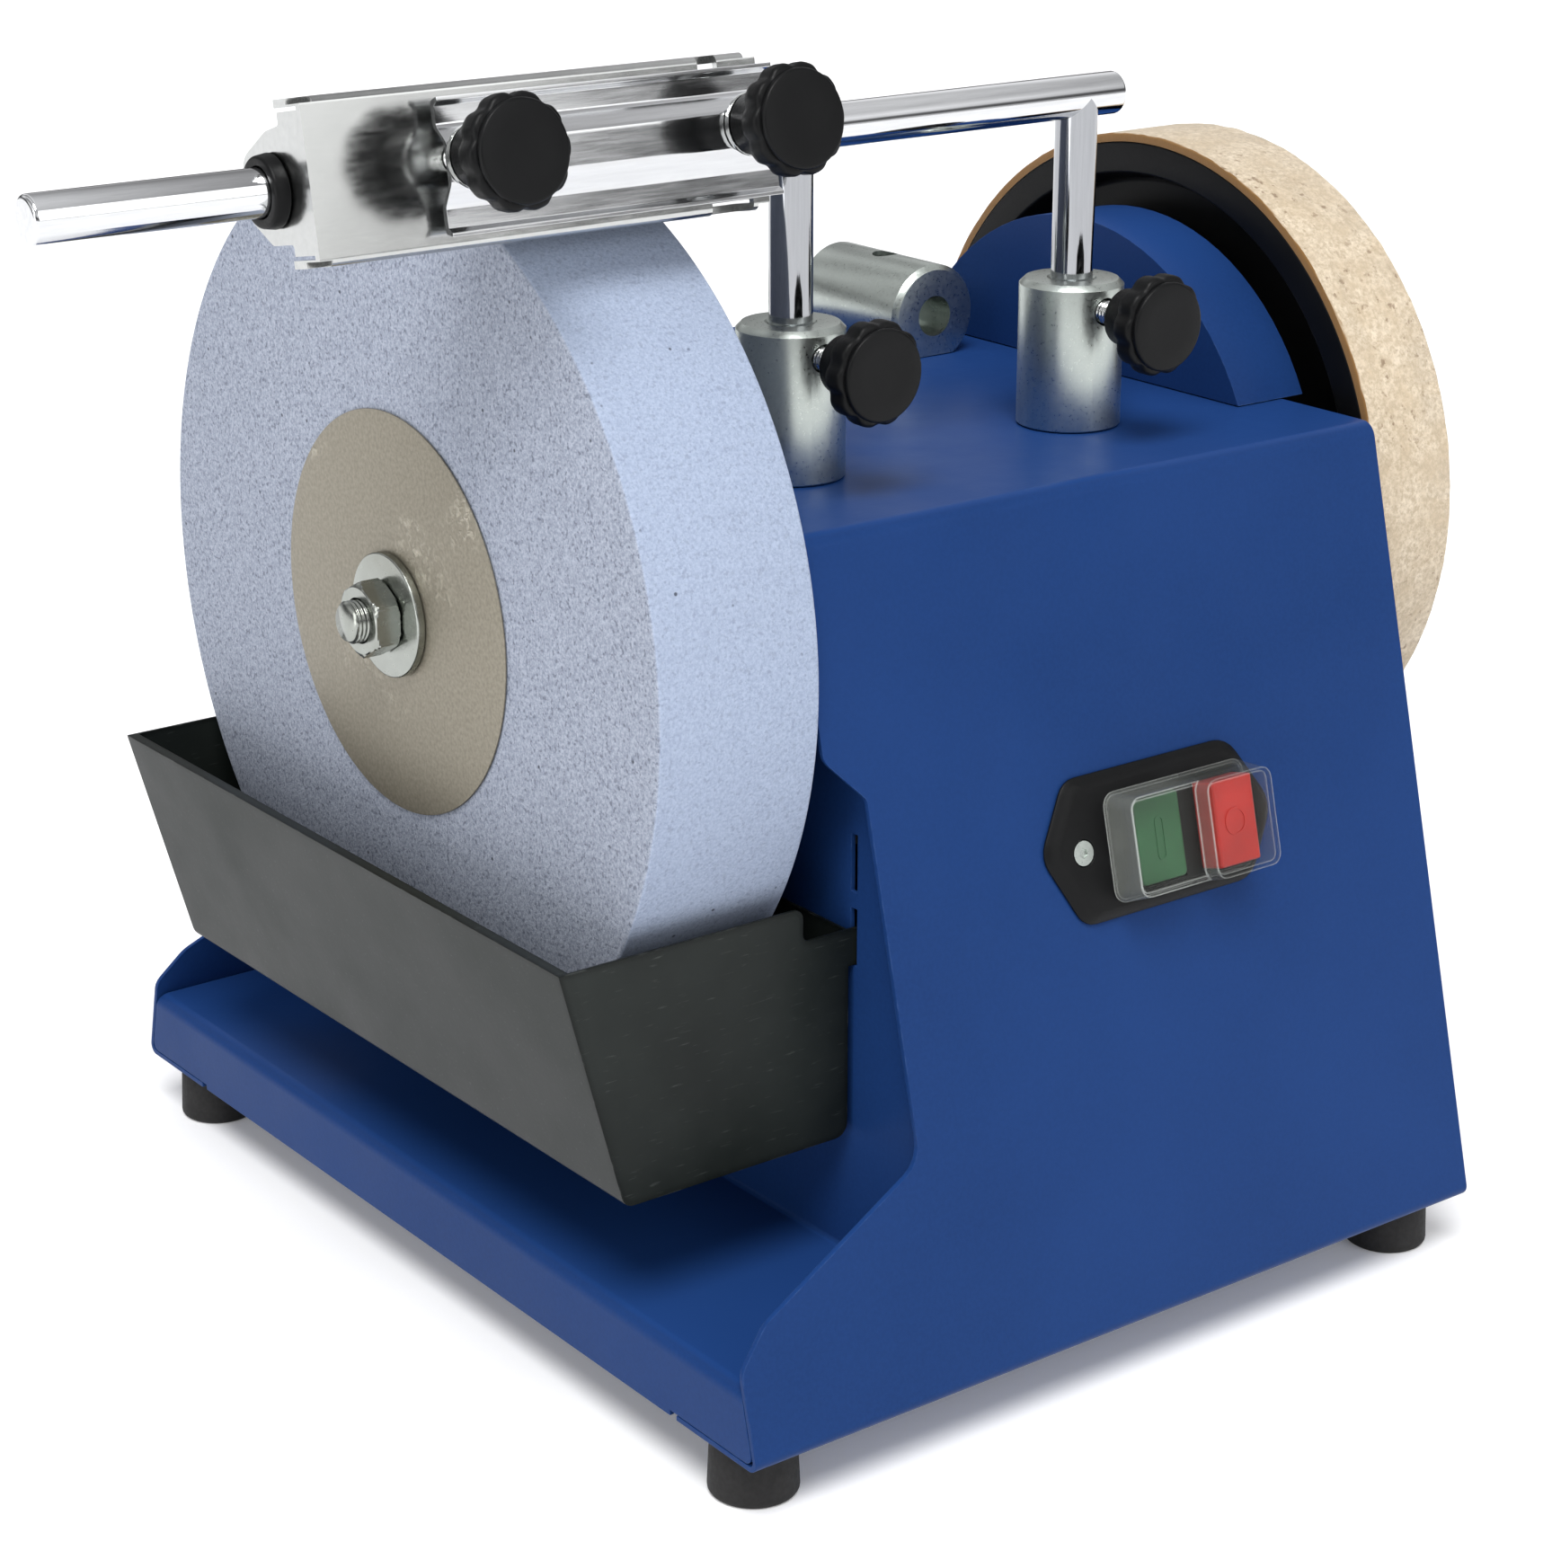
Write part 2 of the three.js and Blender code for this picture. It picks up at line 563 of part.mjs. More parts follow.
function mainShaft() {
  return turnedX([
    [SHAFT_LEFT, 0], [SHAFT_LEFT, SHAFT_R - 1], [SHAFT_LEFT + 1, SHAFT_R],
    [STONE_X + STONE_W + 3.6, SHAFT_R], [STONE_X + STONE_W + 3.6, 10], [WALL_X - 3.6, 10],
    [WALL_X - 3.6, SHAFT_R + 2], [DRUM_X - 12, SHAFT_R + 2], [DRUM_X - 12, SHAFT_R],
    [SHAFT_RIGHT - 1, SHAFT_R], [SHAFT_RIGHT, SHAFT_R - 1], [SHAFT_RIGHT, 0],
  ], 0, SHAFT_Z, 32);
}

// A plain ring about the shaft.
function ring(x0, x1, inner, outer, sides = 48) {
  return turnedX([[x0, inner], [x0, outer], [x1, outer], [x1, inner]], 0, SHAFT_Z, sides);
}

function grindstone() {
  const x1 = STONE_X + STONE_W;
  return turnedX([
    [STONE_X, SHAFT_R + GAP], [STONE_X, STONE_R - 0.8], [STONE_X + 0.8, STONE_R],
    [x1 - 0.8, STONE_R], [x1, STONE_R - 0.8], [x1, SHAFT_R + GAP],
  ], 0, SHAFT_Z, 128);
}

function hexNut(x0, height) {
  const nut = alongX(hexagon(NUT_AF, 0, SHAFT_Z), x0, x0 + height);
  return cut(nut, rodX(SHAFT_R + GAP, x0 - 5, x0 + height + 5, 0, SHAFT_Z, 32));
}

// Dished plastic wheel with a rim, a web and a hub.
function honingWheelBody() {
  const x1 = HONE_X + HONE_W;
  const rim = HONE_R - LEATHER_T - GAP;
  const inner = HONE_R - LEATHER_T - HONE_RIM;
  return turnedX([
    [HONE_X, SHAFT_R + GAP], [HONE_X, 18], [HONE_X + 9, 20], [HONE_X + 9, inner - 2],
    [HONE_X, inner], [HONE_X, rim], [x1, rim], [x1, inner], [x1 - 9, inner - 2],
    [x1 - 9, 20], [x1, 18], [x1, SHAFT_R + GAP],
  ], 0, SHAFT_Z, 96);
}

// Drum hub, with a long sleeve pinned to the shaft; a rubber friction tyre runs round it.
function driveDrum() {
  const rim = DRUM_R - TYRE_T - GAP;
  return turnedX([
    [DRUM_X - 10, SHAFT_R + GAP], [DRUM_X - 10, 13], [DRUM_X + 2.5, 14], [DRUM_X + 2.5, rim - 6],
    [DRUM_X, rim - 5], [DRUM_X, rim], [DRUM_X + DRUM_W, rim], [DRUM_X + DRUM_W, rim - 5],
    [DRUM_X + DRUM_W - 2.5, rim - 6], [DRUM_X + DRUM_W - 2.5, 13], [DRUM_X + DRUM_W - 1, 12],
    [DRUM_X + DRUM_W - 1, SHAFT_R + GAP],
  ], 0, SHAFT_Z, 64);
}

// Flanged plain bearing pressed into a side wall; its flange stands on the given side.
function wallBush(wallX, bore) {
  const x0 = wallX - 2.8;
  return turnedX([
    [x0, bore], [x0, BUSH_R + 4], [wallX - GAP, BUSH_R + 4], [wallX - GAP, BUSH_R],
    [wallX + 5, BUSH_R], [wallX + 5, bore],
  ], 0, SHAFT_Z, 32);
}

// ---------------------------------------------------------------- motor
// The motor hangs from a pin under the top plate; its weight leans the spindle on the tyre.

function motorLug(x) {
  return alongX([
    [MOTOR_Y - 12, MOTOR_Z + 44], [MOTOR_Y + 12, MOTOR_Z + 44],
    [PIVOT_Y + 10, PIVOT_Z + 9, 8], [PIVOT_Y - 10, PIVOT_Z + 9, 8],
    [PIVOT_Y - 10, PIVOT_Z - 12],
  ], x, x + LUG_T);
}

function motorHousing() {
  const [x0, x1] = MOTOR_X;
  const can = turnedX([
    [x0, 0], [x0, MOTOR_R - 4], [x0 + 4, MOTOR_R], [x1 - 4, MOTOR_R], [x1, MOTOR_R - 4], [x1, 0],
  ], MOTOR_Y, MOTOR_Z, 48);
  const lugs = PIVOT_LUG_X.map(motorLug);
  const pinHole = rodX(PIVOT_R + GAP, x0 - 20, x1 + 20, PIVOT_Y, PIVOT_Z, 20);
  const noseHole = rodX(12, x1 - 20, x1 + 5, MOTOR_Y, MOTOR_Z, 28);
  return cut(union(can, ...lugs), pinHole, noseHole);
}

function motorSpindle() {
  const x0 = MOTOR_X[1] - 18;
  return turnedX([
    [x0, 0], [x0, 10], [x0 + 6, 10], [x0 + 6, 6], [DRUM_X - 6, 6], [DRUM_X - 6, SPINDLE_R],
    [DRUM_X + DRUM_W + 1, SPINDLE_R], [DRUM_X + DRUM_W + 1, 0],
  ], MOTOR_Y, MOTOR_Z, 32);
}

// Bracket welded under the top plate: two ears that carry the pivot pin.
function motorBracket() {
  const z1 = TOP_Z - SHEET - GAP;
  const ears = [14, 135].map((x) =>
    alongX([
      [PIVOT_Y - 14, z1], [PIVOT_Y - 8, PIVOT_Z - 9, 5], [PIVOT_Y + 8, PIVOT_Z - 9, 5],
      [PIVOT_Y + 14, z1],
    ], x, x + 3),
  );
  const bridge = box(14, 138, PIVOT_Y - 14, PIVOT_Y + 14, z1 - 3, z1);
  return cut(union(bridge, ...ears), rodX(PIVOT_R + GAP, 0, 150, PIVOT_Y, PIVOT_Z, 20));
}

function pivotPin() {
  return union(
    rodX(PIVOT_R, 11, 141, PIVOT_Y, PIVOT_Z, 20),
    rodX(PIVOT_R + 2, 9.5, 13.7, PIVOT_Y, PIVOT_Z, 20),
  );
}

// ---------------------------------------------------------------- switch
// Built with the top bend line on the X axis: front is -Y, down the panel is -Z.

// A low block with sloping sides: an outline at the panel drawn in to a smaller one ahead of it.
function tapered(foot, top, near, far) {
  return hull(alongY(foot, -(near + 0.6), -near), alongY(top, -far, 0.4 - far));
}

// Corners of a rectangle with one rounding radius.
function rounded(x0, x1, z0, z1, radius) {
  return [[x0, z1, radius], [x1, z1, radius], [x1, z0, radius], [x0, z0, radius]];
}

function switchPlate() {
  const face = tapered(
    [[22, -97.5, 8], [33, -78.2, 7], [94, -78.2, 10], [108, -99.5, 9], [97, -119.2, 9],
      [34, -119.2, 7]],
    [[26.5, -97.7, 7], [35.4, -81.6, 5], [92.2, -81.6, 8], [103.6, -99.3, 7], [94.8, -115.8, 7],
      [36.4, -115.8, 5]],
    GAP, PLATE_OUT,
  );
  const opening = box(BLOCK_X[0] - GAP, BLOCK_X[1] + GAP, -10, 10,
    BLOCK_Z[0] - GAP, BLOCK_Z[1] + GAP);
  const hole = rodY(2, -10, 10, ...SWITCH_SCREW, 16);
  const sink = rodY(3.8, -10, 1.6 - PLATE_OUT, ...SWITCH_SCREW, 20);
  return onPanel(cut(face, opening, hole, sink));
}

// Switch block through the panel, a box with two wells open to the front for the buttons.
function switchBody() {
  const block = box(...BLOCK_X, -BLOCK_OUT, 30, ...BLOCK_Z);
  const wells = BUTTONS.map(([x0, x1]) =>
    box(x0 - GAP, x1 + GAP, -20, 16, BUTTON_Z[1] - GAP, BUTTON_Z[0] + GAP),
  );
  return onPanel(cut(block, ...wells));
}

// Clear splash hood: a thin shell over both buttons, stepped up over the red one.
function switchCover() {
  const base = PLATE_OUT + GAP;
  const wall = 1;
  const shape = (inset) => union(
    tapered(
      rounded(43.5 + inset, 76, -115 + inset, -84 - inset, 4 - inset),
      rounded(45.5 + inset, 76, -113.4 + inset, -85.6 - inset, 3.4 - inset),
      base - inset, HOOD_OUT[0] - inset,
    ),
    tapered(
      rounded(67 + inset, 96 - inset, -115 + inset, -84 - inset, 4 - inset),
      rounded(70 + inset, 94 - inset, -113.4 + inset, -85.6 - inset, 3.4 - inset),
      base - inset, HOOD_OUT[1] - inset,
    ),
  );
  return onPanel(cut(shape(0), shape(wall)));
}

function switchScrew() {
  const head = rodY(3.5, 0.1 - PLATE_OUT, 1.3 - PLATE_OUT, ...SWITCH_SCREW, 20);
  const shank = rodY(1.6, 1.2 - PLATE_OUT, -GAP, ...SWITCH_SCREW, 16);
  const socket = alongY(hexagon(2.4, ...SWITCH_SCREW), -10, 0.8 - PLATE_OUT);
  return onPanel(cut(union(head, shank), socket));
}

function greenButton() {
  const [top, low] = BUTTON_Z;
  return onPanel(alongY(rounded(...BUTTONS[0], low, top, 1.5), -GREEN_OUT, 8));
}

// Red stop button, higher than the green one and bevelled on the side next to it.
function redButton() {
  const [x0, x1] = BUTTONS[1];
  const profile = [[x0, 8], [x0, -GREEN_OUT], [x0 + 1.2, -RED_OUT], [x1, -RED_OUT], [x1, 8]];
  return onPanel(alongZ(profile, ...BUTTON_Z.toReversed()));
}

// ---------------------------------------------------------------- water tray

// Outline of the tray seen along the machine's depth, shrunk by an inset.
function trayOutline(inset, topExtra) {
  return [
    [TRAY_OUT_TOP + inset, TRAY_TOP + topExtra],
    [TRAY_OUT_BOTTOM + inset, TRAY_BOTTOM + inset, 4],
    [TRAY_RIGHT - inset, TRAY_BOTTOM + inset, 4],
    [TRAY_RIGHT - inset, TRAY_TOP + topExtra],
  ];
}

// Welded sheet trough with a cut-down inner wall. A hook at the right edge of each end wall
// hangs it in the left wall's slots.
function waterTray() {
  const shell = alongY(trayOutline(0, 0), -TRAY_HALF, TRAY_HALF);
  const room = alongY(trayOutline(TRAY_T, 10), TRAY_T - TRAY_HALF, TRAY_HALF - TRAY_T);
  const notch = alongY([
    [TRAY_NOTCH_X, TRAY_NOTCH_Z, 2], [TRAY_NOTCH_X, TRAY_TOP, 3], [TRAY_NOTCH_X - 10, TRAY_TOP],
    [TRAY_NOTCH_X - 10, TRAY_TOP + 5], [TRAY_RIGHT + 5, TRAY_TOP + 5], [TRAY_RIGHT + 5, TRAY_NOTCH_Z],
  ], -200, 200);
  const hookX = WALL_X + SHEET + GAP;
  const hooks = [-TRAY_HALF, TRAY_HALF - TRAY_T].map((y) =>
    alongY([
      [TRAY_RIGHT - TRAY_T, HOOK_TOP], [hookX + 2.2, HOOK_TOP, 1.5],
      [hookX + 2.2, HOOK_BOTTOM - HOOK_DROP, 0.8], [hookX, HOOK_BOTTOM - HOOK_DROP],
      [hookX, HOOK_BOTTOM], [TRAY_RIGHT - TRAY_T, HOOK_BOTTOM],
    ], y, y + TRAY_T),
  );
  return union(cut(shell, room, notch), ...hooks);
}

// ---------------------------------------------------------------- cable inlet

// Screw-in cable gland in the back panel, with its passage open for a lead.
function cableGland() {
  const panelY = halfDepth(GLAND.z);
  const collar = alongY(hexagon(20, GLAND.x, GLAND.z), panelY + 3, panelY + 8);
  const nose = rodY(8, panelY - 9, panelY + 9, GLAND.x, GLAND.z, 24);
  return cut(union(collar, nose), rodY(4.2, panelY - 20, panelY + 20, GLAND.x, GLAND.z, 20));
}

// ---------------------------------------------------------------- assembly

add("housing_cover", housingCover(), PAINT);
add("left_wall_and_shelf", leftWallAndShelf(), PAINT);
add("right_wall", rightWall(), PAINT);
add("bottom_plate", bottomPlate(), BLACK_PAINT);
add("drum_cover", humpCover(), PAINT);
["left", "right"].forEach((side, i) => {
  add(`foot_front_${side}`, foot(FOOT_X[i], -FOOT_Y), RUBBER);
  add(`foot_rear_${side}`, foot(FOOT_X[i], FOOT_Y), RUBBER);
  add(`vertical_sleeve_${side}`, verticalSleeve(POST_X[i]), STEEL);
  add(`rear_sleeve_${side}`, rearSleeve(REAR_SLEEVE_X[i]), STEEL);
  add(`support_leg_${side}`, leg(POST_X[i]), CHROME);
  const studEnd = POST_Y - POST_R - GAP;
  add(`sleeve_clamp_stud_${side}`, rodY(STUD_R, CLAMP_KNOB_Y + 5.5, studEnd, POST_X[i], CLAMP_Z, 20), ZINC);
  add(`sleeve_clamp_knob_${side}`, starKnob(POST_X[i], CLAMP_Z, CLAMP_KNOB_Y, CLAMP_HUB_Y), BLACK_PLASTIC);
});
add("cable_gland", cableGland(), BLACK_PLASTIC);
add("support_bar", supportBar(), CHROME);

add("main_shaft", mainShaft(), STEEL);
add("left_shaft_bush", wallBush(WALL_X, SHAFT_R + 2 + GAP), BRONZE);
add("right_shaft_bush", wallBush(RIGHT_WALL_X, SHAFT_R + GAP), BRONZE);
add("grindstone", grindstone(), STONE);
add("stone_label", ring(STONE_X - GAP - LABEL_T, STONE_X - GAP, 8, LABEL_R, 64), PAPER);
const washerX = STONE_X - 2 * GAP - LABEL_T - WASHER_T;
add("stone_outer_washer", ring(washerX, washerX + WASHER_T, SHAFT_R + GAP, WASHER_R), ZINC);
const stoneInner = STONE_X + STONE_W + GAP;
add("stone_inner_washer", ring(stoneInner, stoneInner + 3, SHAFT_R + GAP, 20), ZINC);
add("stone_nut", hexNut(washerX - GAP - NUT_H, NUT_H), ZINC);
add("drive_drum", driveDrum(), CASTING);
add("drum_tyre", ring(DRUM_X, DRUM_X + DRUM_W, DRUM_R - TYRE_T, DRUM_R, 72), RUBBER);
const honeEnd = HONE_X + HONE_W;
add("honing_wheel", honingWheelBody(), BLACK_PLASTIC);
add("honing_leather", ring(HONE_X, honeEnd, HONE_R - LEATHER_T, HONE_R, 96), LEATHER);
add("honing_washer", ring(honeEnd + GAP, honeEnd + GAP + 2, SHAFT_R + GAP, 14), ZINC);
add("honing_nut", hexNut(honeEnd + 2 * GAP + 2, NUT_H), ZINC);

add("motor_housing", motorHousing(), CASTING);
add("motor_spindle", motorSpindle(), STEEL);
add("motor_bracket", motorBracket(), ZINC);
add("motor_pivot_pin", pivotPin(), STEEL);

add("switch_plate", switchPlate(), BLACK_PLASTIC);
add("switch_body", switchBody(), BLACK_PLASTIC);
add("switch_cover", switchCover(), CLEAR);
add("switch_screw", switchScrew(), STEEL);
add("green_button", greenButton(), GREEN);
add("red_button", redButton(), RED);

add("water_tray", waterTray(), BLACK_PAINT);

add("jig_body", jigBody(), ZINC);
add("jig_bush_left", jigBush(JIG_LEFT, -1), BLACK_PLASTIC);
add("jig_bush_right", jigBush(JIG_RIGHT, 1), BLACK_PLASTIC);
add("jig_clamp_plate", clampPlate(), ALUMINIUM);
["left", "right"].forEach((side, i) => {
  const x = JIG_STUD_X[i];
  const hubEnd = JIG_WASHER_Y - JIG_WASHER_T - GAP;
  add(`jig_stud_${side}`, jigStud(x), ZINC);
  add(`jig_washer_${side}`, jigWasher(x), ZINC);
  add(`jig_knob_${side}`, onJig(starKnob(x, JIG_STUD_V, -JIG_KNOB_OUT, hubEnd)), BLACK_PLASTIC);
});

export default part;
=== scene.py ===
"""Looks of the wet grinding sharpener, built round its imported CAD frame. Blender 4.5, metres."""

import json
import math

import bmesh
import bpy
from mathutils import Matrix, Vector, noise


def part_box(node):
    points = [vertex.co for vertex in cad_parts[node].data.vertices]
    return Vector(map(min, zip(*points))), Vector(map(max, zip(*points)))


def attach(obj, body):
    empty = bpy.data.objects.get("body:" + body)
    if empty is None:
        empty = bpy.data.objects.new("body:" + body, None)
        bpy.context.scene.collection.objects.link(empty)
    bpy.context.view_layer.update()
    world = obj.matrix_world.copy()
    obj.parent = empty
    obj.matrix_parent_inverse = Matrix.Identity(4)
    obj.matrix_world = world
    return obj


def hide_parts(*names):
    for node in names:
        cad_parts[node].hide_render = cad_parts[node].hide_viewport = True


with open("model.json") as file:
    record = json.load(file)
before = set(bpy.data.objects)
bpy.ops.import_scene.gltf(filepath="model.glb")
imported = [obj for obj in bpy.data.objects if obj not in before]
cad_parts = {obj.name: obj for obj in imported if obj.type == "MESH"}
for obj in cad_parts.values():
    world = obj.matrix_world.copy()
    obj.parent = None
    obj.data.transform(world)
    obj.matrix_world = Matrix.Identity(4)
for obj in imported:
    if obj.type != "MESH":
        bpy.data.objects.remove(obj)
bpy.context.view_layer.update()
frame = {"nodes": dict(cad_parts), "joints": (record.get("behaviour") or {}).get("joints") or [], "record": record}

MM = 0.001
X = Vector((1, 0, 0))
Y = Vector((0, 1, 0))
Z = Vector((0, 0, 1))

# The camera stands where the photograph's did.
CAMERA_TARGET = (0.0135, -0.0273, 0.1417)
CAMERA_AZIMUTH = math.radians(323.0)
CAMERA_ELEVATION = math.radians(19.65)
CAMERA_DISTANCE = 0.999
CAMERA_LENS = 78.6


# ---------------------------------------------------------------- shader tools


class Shade:
    """A node material under construction; the methods that make nodes give output sockets."""

    def __init__(self, name, **constants):
        self.mat = bpy.data.materials.new(name)
        self.mat.use_nodes = True
        self.tree = self.mat.node_tree
        self.shader = self.tree.nodes["Principled BSDF"]
        self.place = self.node("ShaderNodeTexCoord", out="Object")
        self.set(**constants)

    def feed(self, socket, value):
        """Links an output socket or sets a constant; a colour of three numbers gets its alpha."""
        if isinstance(value, bpy.types.NodeSocket):
            self.tree.links.new(value, socket)
            return
        if value is None:
            return
        if socket.type == "RGBA" and isinstance(value, tuple) and len(value) == 3:
            value = (*value, 1)
        socket.default_value = value

    def node(self, kind, out=0, inputs=(), **settings):
        """A new node with its inputs fed; gives one of its outputs."""
        made = self.tree.nodes.new(kind)
        for key, value in settings.items():
            setattr(made, key, value)
        for key, value in dict(inputs).items():
            self.feed(made.inputs[key], value)
        return made.outputs[out]

    def set(self, **sockets):
        """Principled inputs by name, with _ for a space."""
        for key, value in sockets.items():
            self.feed(self.shader.inputs[key.replace("_", " ")], value)

    def stretched(self, x, y, z):
        """Object coordinates with each axis scaled, for brushed or drawn patterns."""
        return self.node("ShaderNodeMapping", inputs={"Vector": self.place, "Scale": (x, y, z)})

    def noise(self, scale, detail=3.0, roughness=0.55, vector=None, distortion=0.0):
        return self.node("ShaderNodeTexNoise", inputs={
            "Vector": vector or self.place, "Scale": scale, "Detail": detail,
            "Roughness": roughness, "Distortion": distortion})

    def cells(self, scale):
        """Distance to the nearest of many scattered points."""
        return self.node("ShaderNodeTexVoronoi", out="Distance", inputs={
            "Vector": self.place, "Scale": scale})

    def ranged(self, value, low, high, to_low=0.0, to_high=1.0):
        """A value's range from low to high, mapped to another range and held at its ends."""
        return self.node("ShaderNodeMapRange", inputs={
            0: value, 1: low, 2: high, 3: to_low, 4: to_high})

    def mix(self, share, a, b):
        """Colour a, with a share of colour b."""
        made = self.tree.nodes.new("ShaderNodeMix")
        made.data_type = "RGBA"
        self.feed(made.inputs[0], share)
        self.feed(made.inputs[6], a)
        self.feed(made.inputs[7], b)
        return made.outputs[2]

    def maths(self, operation, a, b=0.0):
        return self.node("ShaderNodeMath", operation=operation, inputs={0: a, 1: b})

    def bump(self, height, distance, strength, under=None):
        return self.node("ShaderNodeBump", inputs={
            "Height": height, "Distance": distance, "Strength": strength, "Normal": under})

    def facing(self, direction):
        """1 where the surface faces along or against a direction, 0 where it is square to it."""
        normal = self.node("ShaderNodeNewGeometry", out="Normal")
        dot = self.node("ShaderNodeVectorMath", operation="DOT_PRODUCT", out="Value",
                        inputs={0: normal, 1: tuple(direction)})
        return self.maths("ABSOLUTE", dot)

    def edges(self, radius, low=0.02, high=0.3):
        """1 on sharp edges, 0 on open surfaces."""
        soft = self.node("ShaderNodeBevel", samples=3, inputs={"Radius": radius})
        true = self.node("ShaderNodeNewGeometry", out="Normal")
        alike = self.node("ShaderNodeVectorMath", operation="DOT_PRODUCT", out="Value",
                          inputs={0: soft, 1: true})
        return self.ranged(self.maths("SUBTRACT", 1.0, alike), low, high)


def scaled(colour, factor):
    """A colour made darker or lighter, never past white."""
    return tuple(min(1.0, c * factor) for c in colour)


# ---------------------------------------------------------------- materials


def powder_coat(name, colour, chip_and_edge_highlight):
    """Powder-coated sheet: orange peel, tone drift, painted light brightening its upward faces, edges worn thin
    and lightened by a painted highlight.
    """
    s = Shade(name, Specular_IOR_Level=0.07)
    drift = s.ranged(s.noise(9), 0.3, 0.7)
    tone = s.mix(drift, scaled(colour, 0.90), scaled(colour, 1.10))
    # Painted light: faces turned upwards are mixed towards a blue twice as bright.
    painted_top_light = s.ranged(s.facing(Z), 0.80, 0.97, 0.0, 0.35)
    tone = s.mix(painted_top_light, tone, scaled(colour, 2.0))
    fleck = s.ranged(s.noise(900, detail=2), 0.35, 0.65)
    tone = s.mix(s.maths("MULTIPLY", fleck, 0.25), tone, scaled(colour, 1.35))
    # Edge mask in noise patches, mixed to a paler blue: partly wear, partly a painted edge highlight.
    worn = s.maths("MULTIPLY", s.edges(0.5 * MM), s.ranged(s.noise(260), 0.42, 0.62))
    s.set(Base_Color=s.mix(s.maths("MULTIPLY", worn, 0.45), tone, chip_and_edge_highlight))
    s.set(Roughness=s.ranged(s.noise(30), 0.3, 0.7, 0.29, 0.42))
    peel = s.bump(s.noise(650, detail=2), 0.05 * MM, 0.4)
    s.set(Normal=s.bump(s.noise(45, detail=1), 0.25 * MM, 0.12, under=peel))
    return s.mat


def tray_paint():
    """Stove-black sheet steel: chalky rubbed patches, scratches, painted shade darkening its bends, and worn
    specks.
    """
    s = Shade("tray_black_paint", Specular_IOR_Level=0.16)
    rubbed = s.ranged(s.noise(24, detail=6), 0.35, 0.75)
    base = s.mix(rubbed, (0.009, 0.0115, 0.0105), (0.020, 0.024, 0.022))
    scratch = s.ranged(s.noise(90, detail=8, vector=s.stretched(1.5, 9, 14)), 0.62, 0.72)
    base = s.mix(s.maths("MULTIPLY", scratch, 0.3), base, (0.10, 0.11, 0.105))
    # Painted shade: the paint is darkened along its bends and edges.
    painted_fold_shade = s.maths("MULTIPLY", s.edges(2.4 * MM, 0.004, 0.03), 0.85)
    base = s.mix(painted_fold_shade, base, (0.0020, 0.0025, 0.0022))
    worn = s.maths("MULTIPLY", s.edges(0.7 * MM), s.ranged(s.noise(130), 0.55, 0.66))
    s.set(Base_Color=s.mix(s.maths("MULTIPLY", worn, 0.55), base, (0.13, 0.14, 0.135)))
    s.set(Roughness=s.ranged(rubbed, 0, 1, 0.34, 0.50))
    s.set(Normal=s.bump(s.noise(520, detail=3), 0.05 * MM, 0.35))
    return s.mat


def sintered_stone():
    """Fine blue-grey abrasive: grit, dark pores, and coarser flat faces, painted darker and greyer than the rim as
    painted shade.
    """
    s = Shade("sintered_stone", Specular_IOR_Level=0.2)
    # Painted shade: the rim and the flat faces are lit and shaded copies of one colour, the faces darker and
    # greyer; their deeper pits are texture.
    flat = s.ranged(s.facing(X), 0.5, 0.9)
    grit = s.noise(1150, detail=4, roughness=0.7)
    lit = s.ranged(grit, 0.34, 0.64)
    rim = s.mix(lit, (0.30, 0.355, 0.48), (0.405, 0.475, 0.61))
    face = s.mix(lit, (0.215, 0.245, 0.31), (0.42, 0.455, 0.54))
    tone = s.mix(flat, rim, face)
    cloud = s.ranged(s.noise(16, detail=4), 0.35, 0.7)
    tone = s.mix(s.maths("MULTIPLY", cloud, 0.12), tone, (0.27, 0.30, 0.37))
    pits = s.ranged(s.noise(800, detail=2), 0.56, 0.66)
    depth = s.ranged(flat, 0.0, 1.0, 0.22, 0.62)
    tone = s.mix(s.maths("MULTIPLY", pits, depth), tone, (0.10, 0.115, 0.155))
    holes = s.maths("MULTIPLY", s.ranged(s.cells(170), 0.11, 0.06),
                    s.ranged(s.noise(70), 0.53, 0.58))
    s.set(Base_Color=s.mix(s.maths("MULTIPLY", holes, 0.85), tone, (0.04, 0.045, 0.06)))
    s.set(Roughness=s.ranged(grit, 0.3, 0.7, 0.82, 0.95))
    s.set(Normal=s.bump(grit, 0.35 * MM, 0.7))
    return s.mat


def label_paper():
    """Dull metallic foil paper, crinkled in patches where the glue has lifted."""
    s = Shade("stone_label_paper", Metallic=0.45, Specular_IOR_Level=0.4)
    fibre = s.noise(900, detail=4)
    tone = s.mix(s.ranged(fibre, 0.35, 0.65), (0.215, 0.195, 0.15), (0.285, 0.26, 0.205))
    lifted = s.ranged(s.noise(22, detail=3, distortion=0.6), 0.55, 0.66)
    blister = s.ranged(s.noise(420, detail=2, distortion=0.5), 0.48, 0.7)
    crinkle = s.maths("MULTIPLY", lifted, blister)
    s.set(Base_Color=s.mix(s.maths("MULTIPLY", crinkle, 0.5), tone, (0.62, 0.58, 0.47)))
    s.set(Roughness=s.ranged(crinkle, 0.0, 0.6, 0.42, 0.26))
    fine = s.bump(fibre, 0.04 * MM, 0.35)
    s.set(Normal=s.bump(crinkle, 0.4 * MM, 0.6, under=fine))
    return s.mat


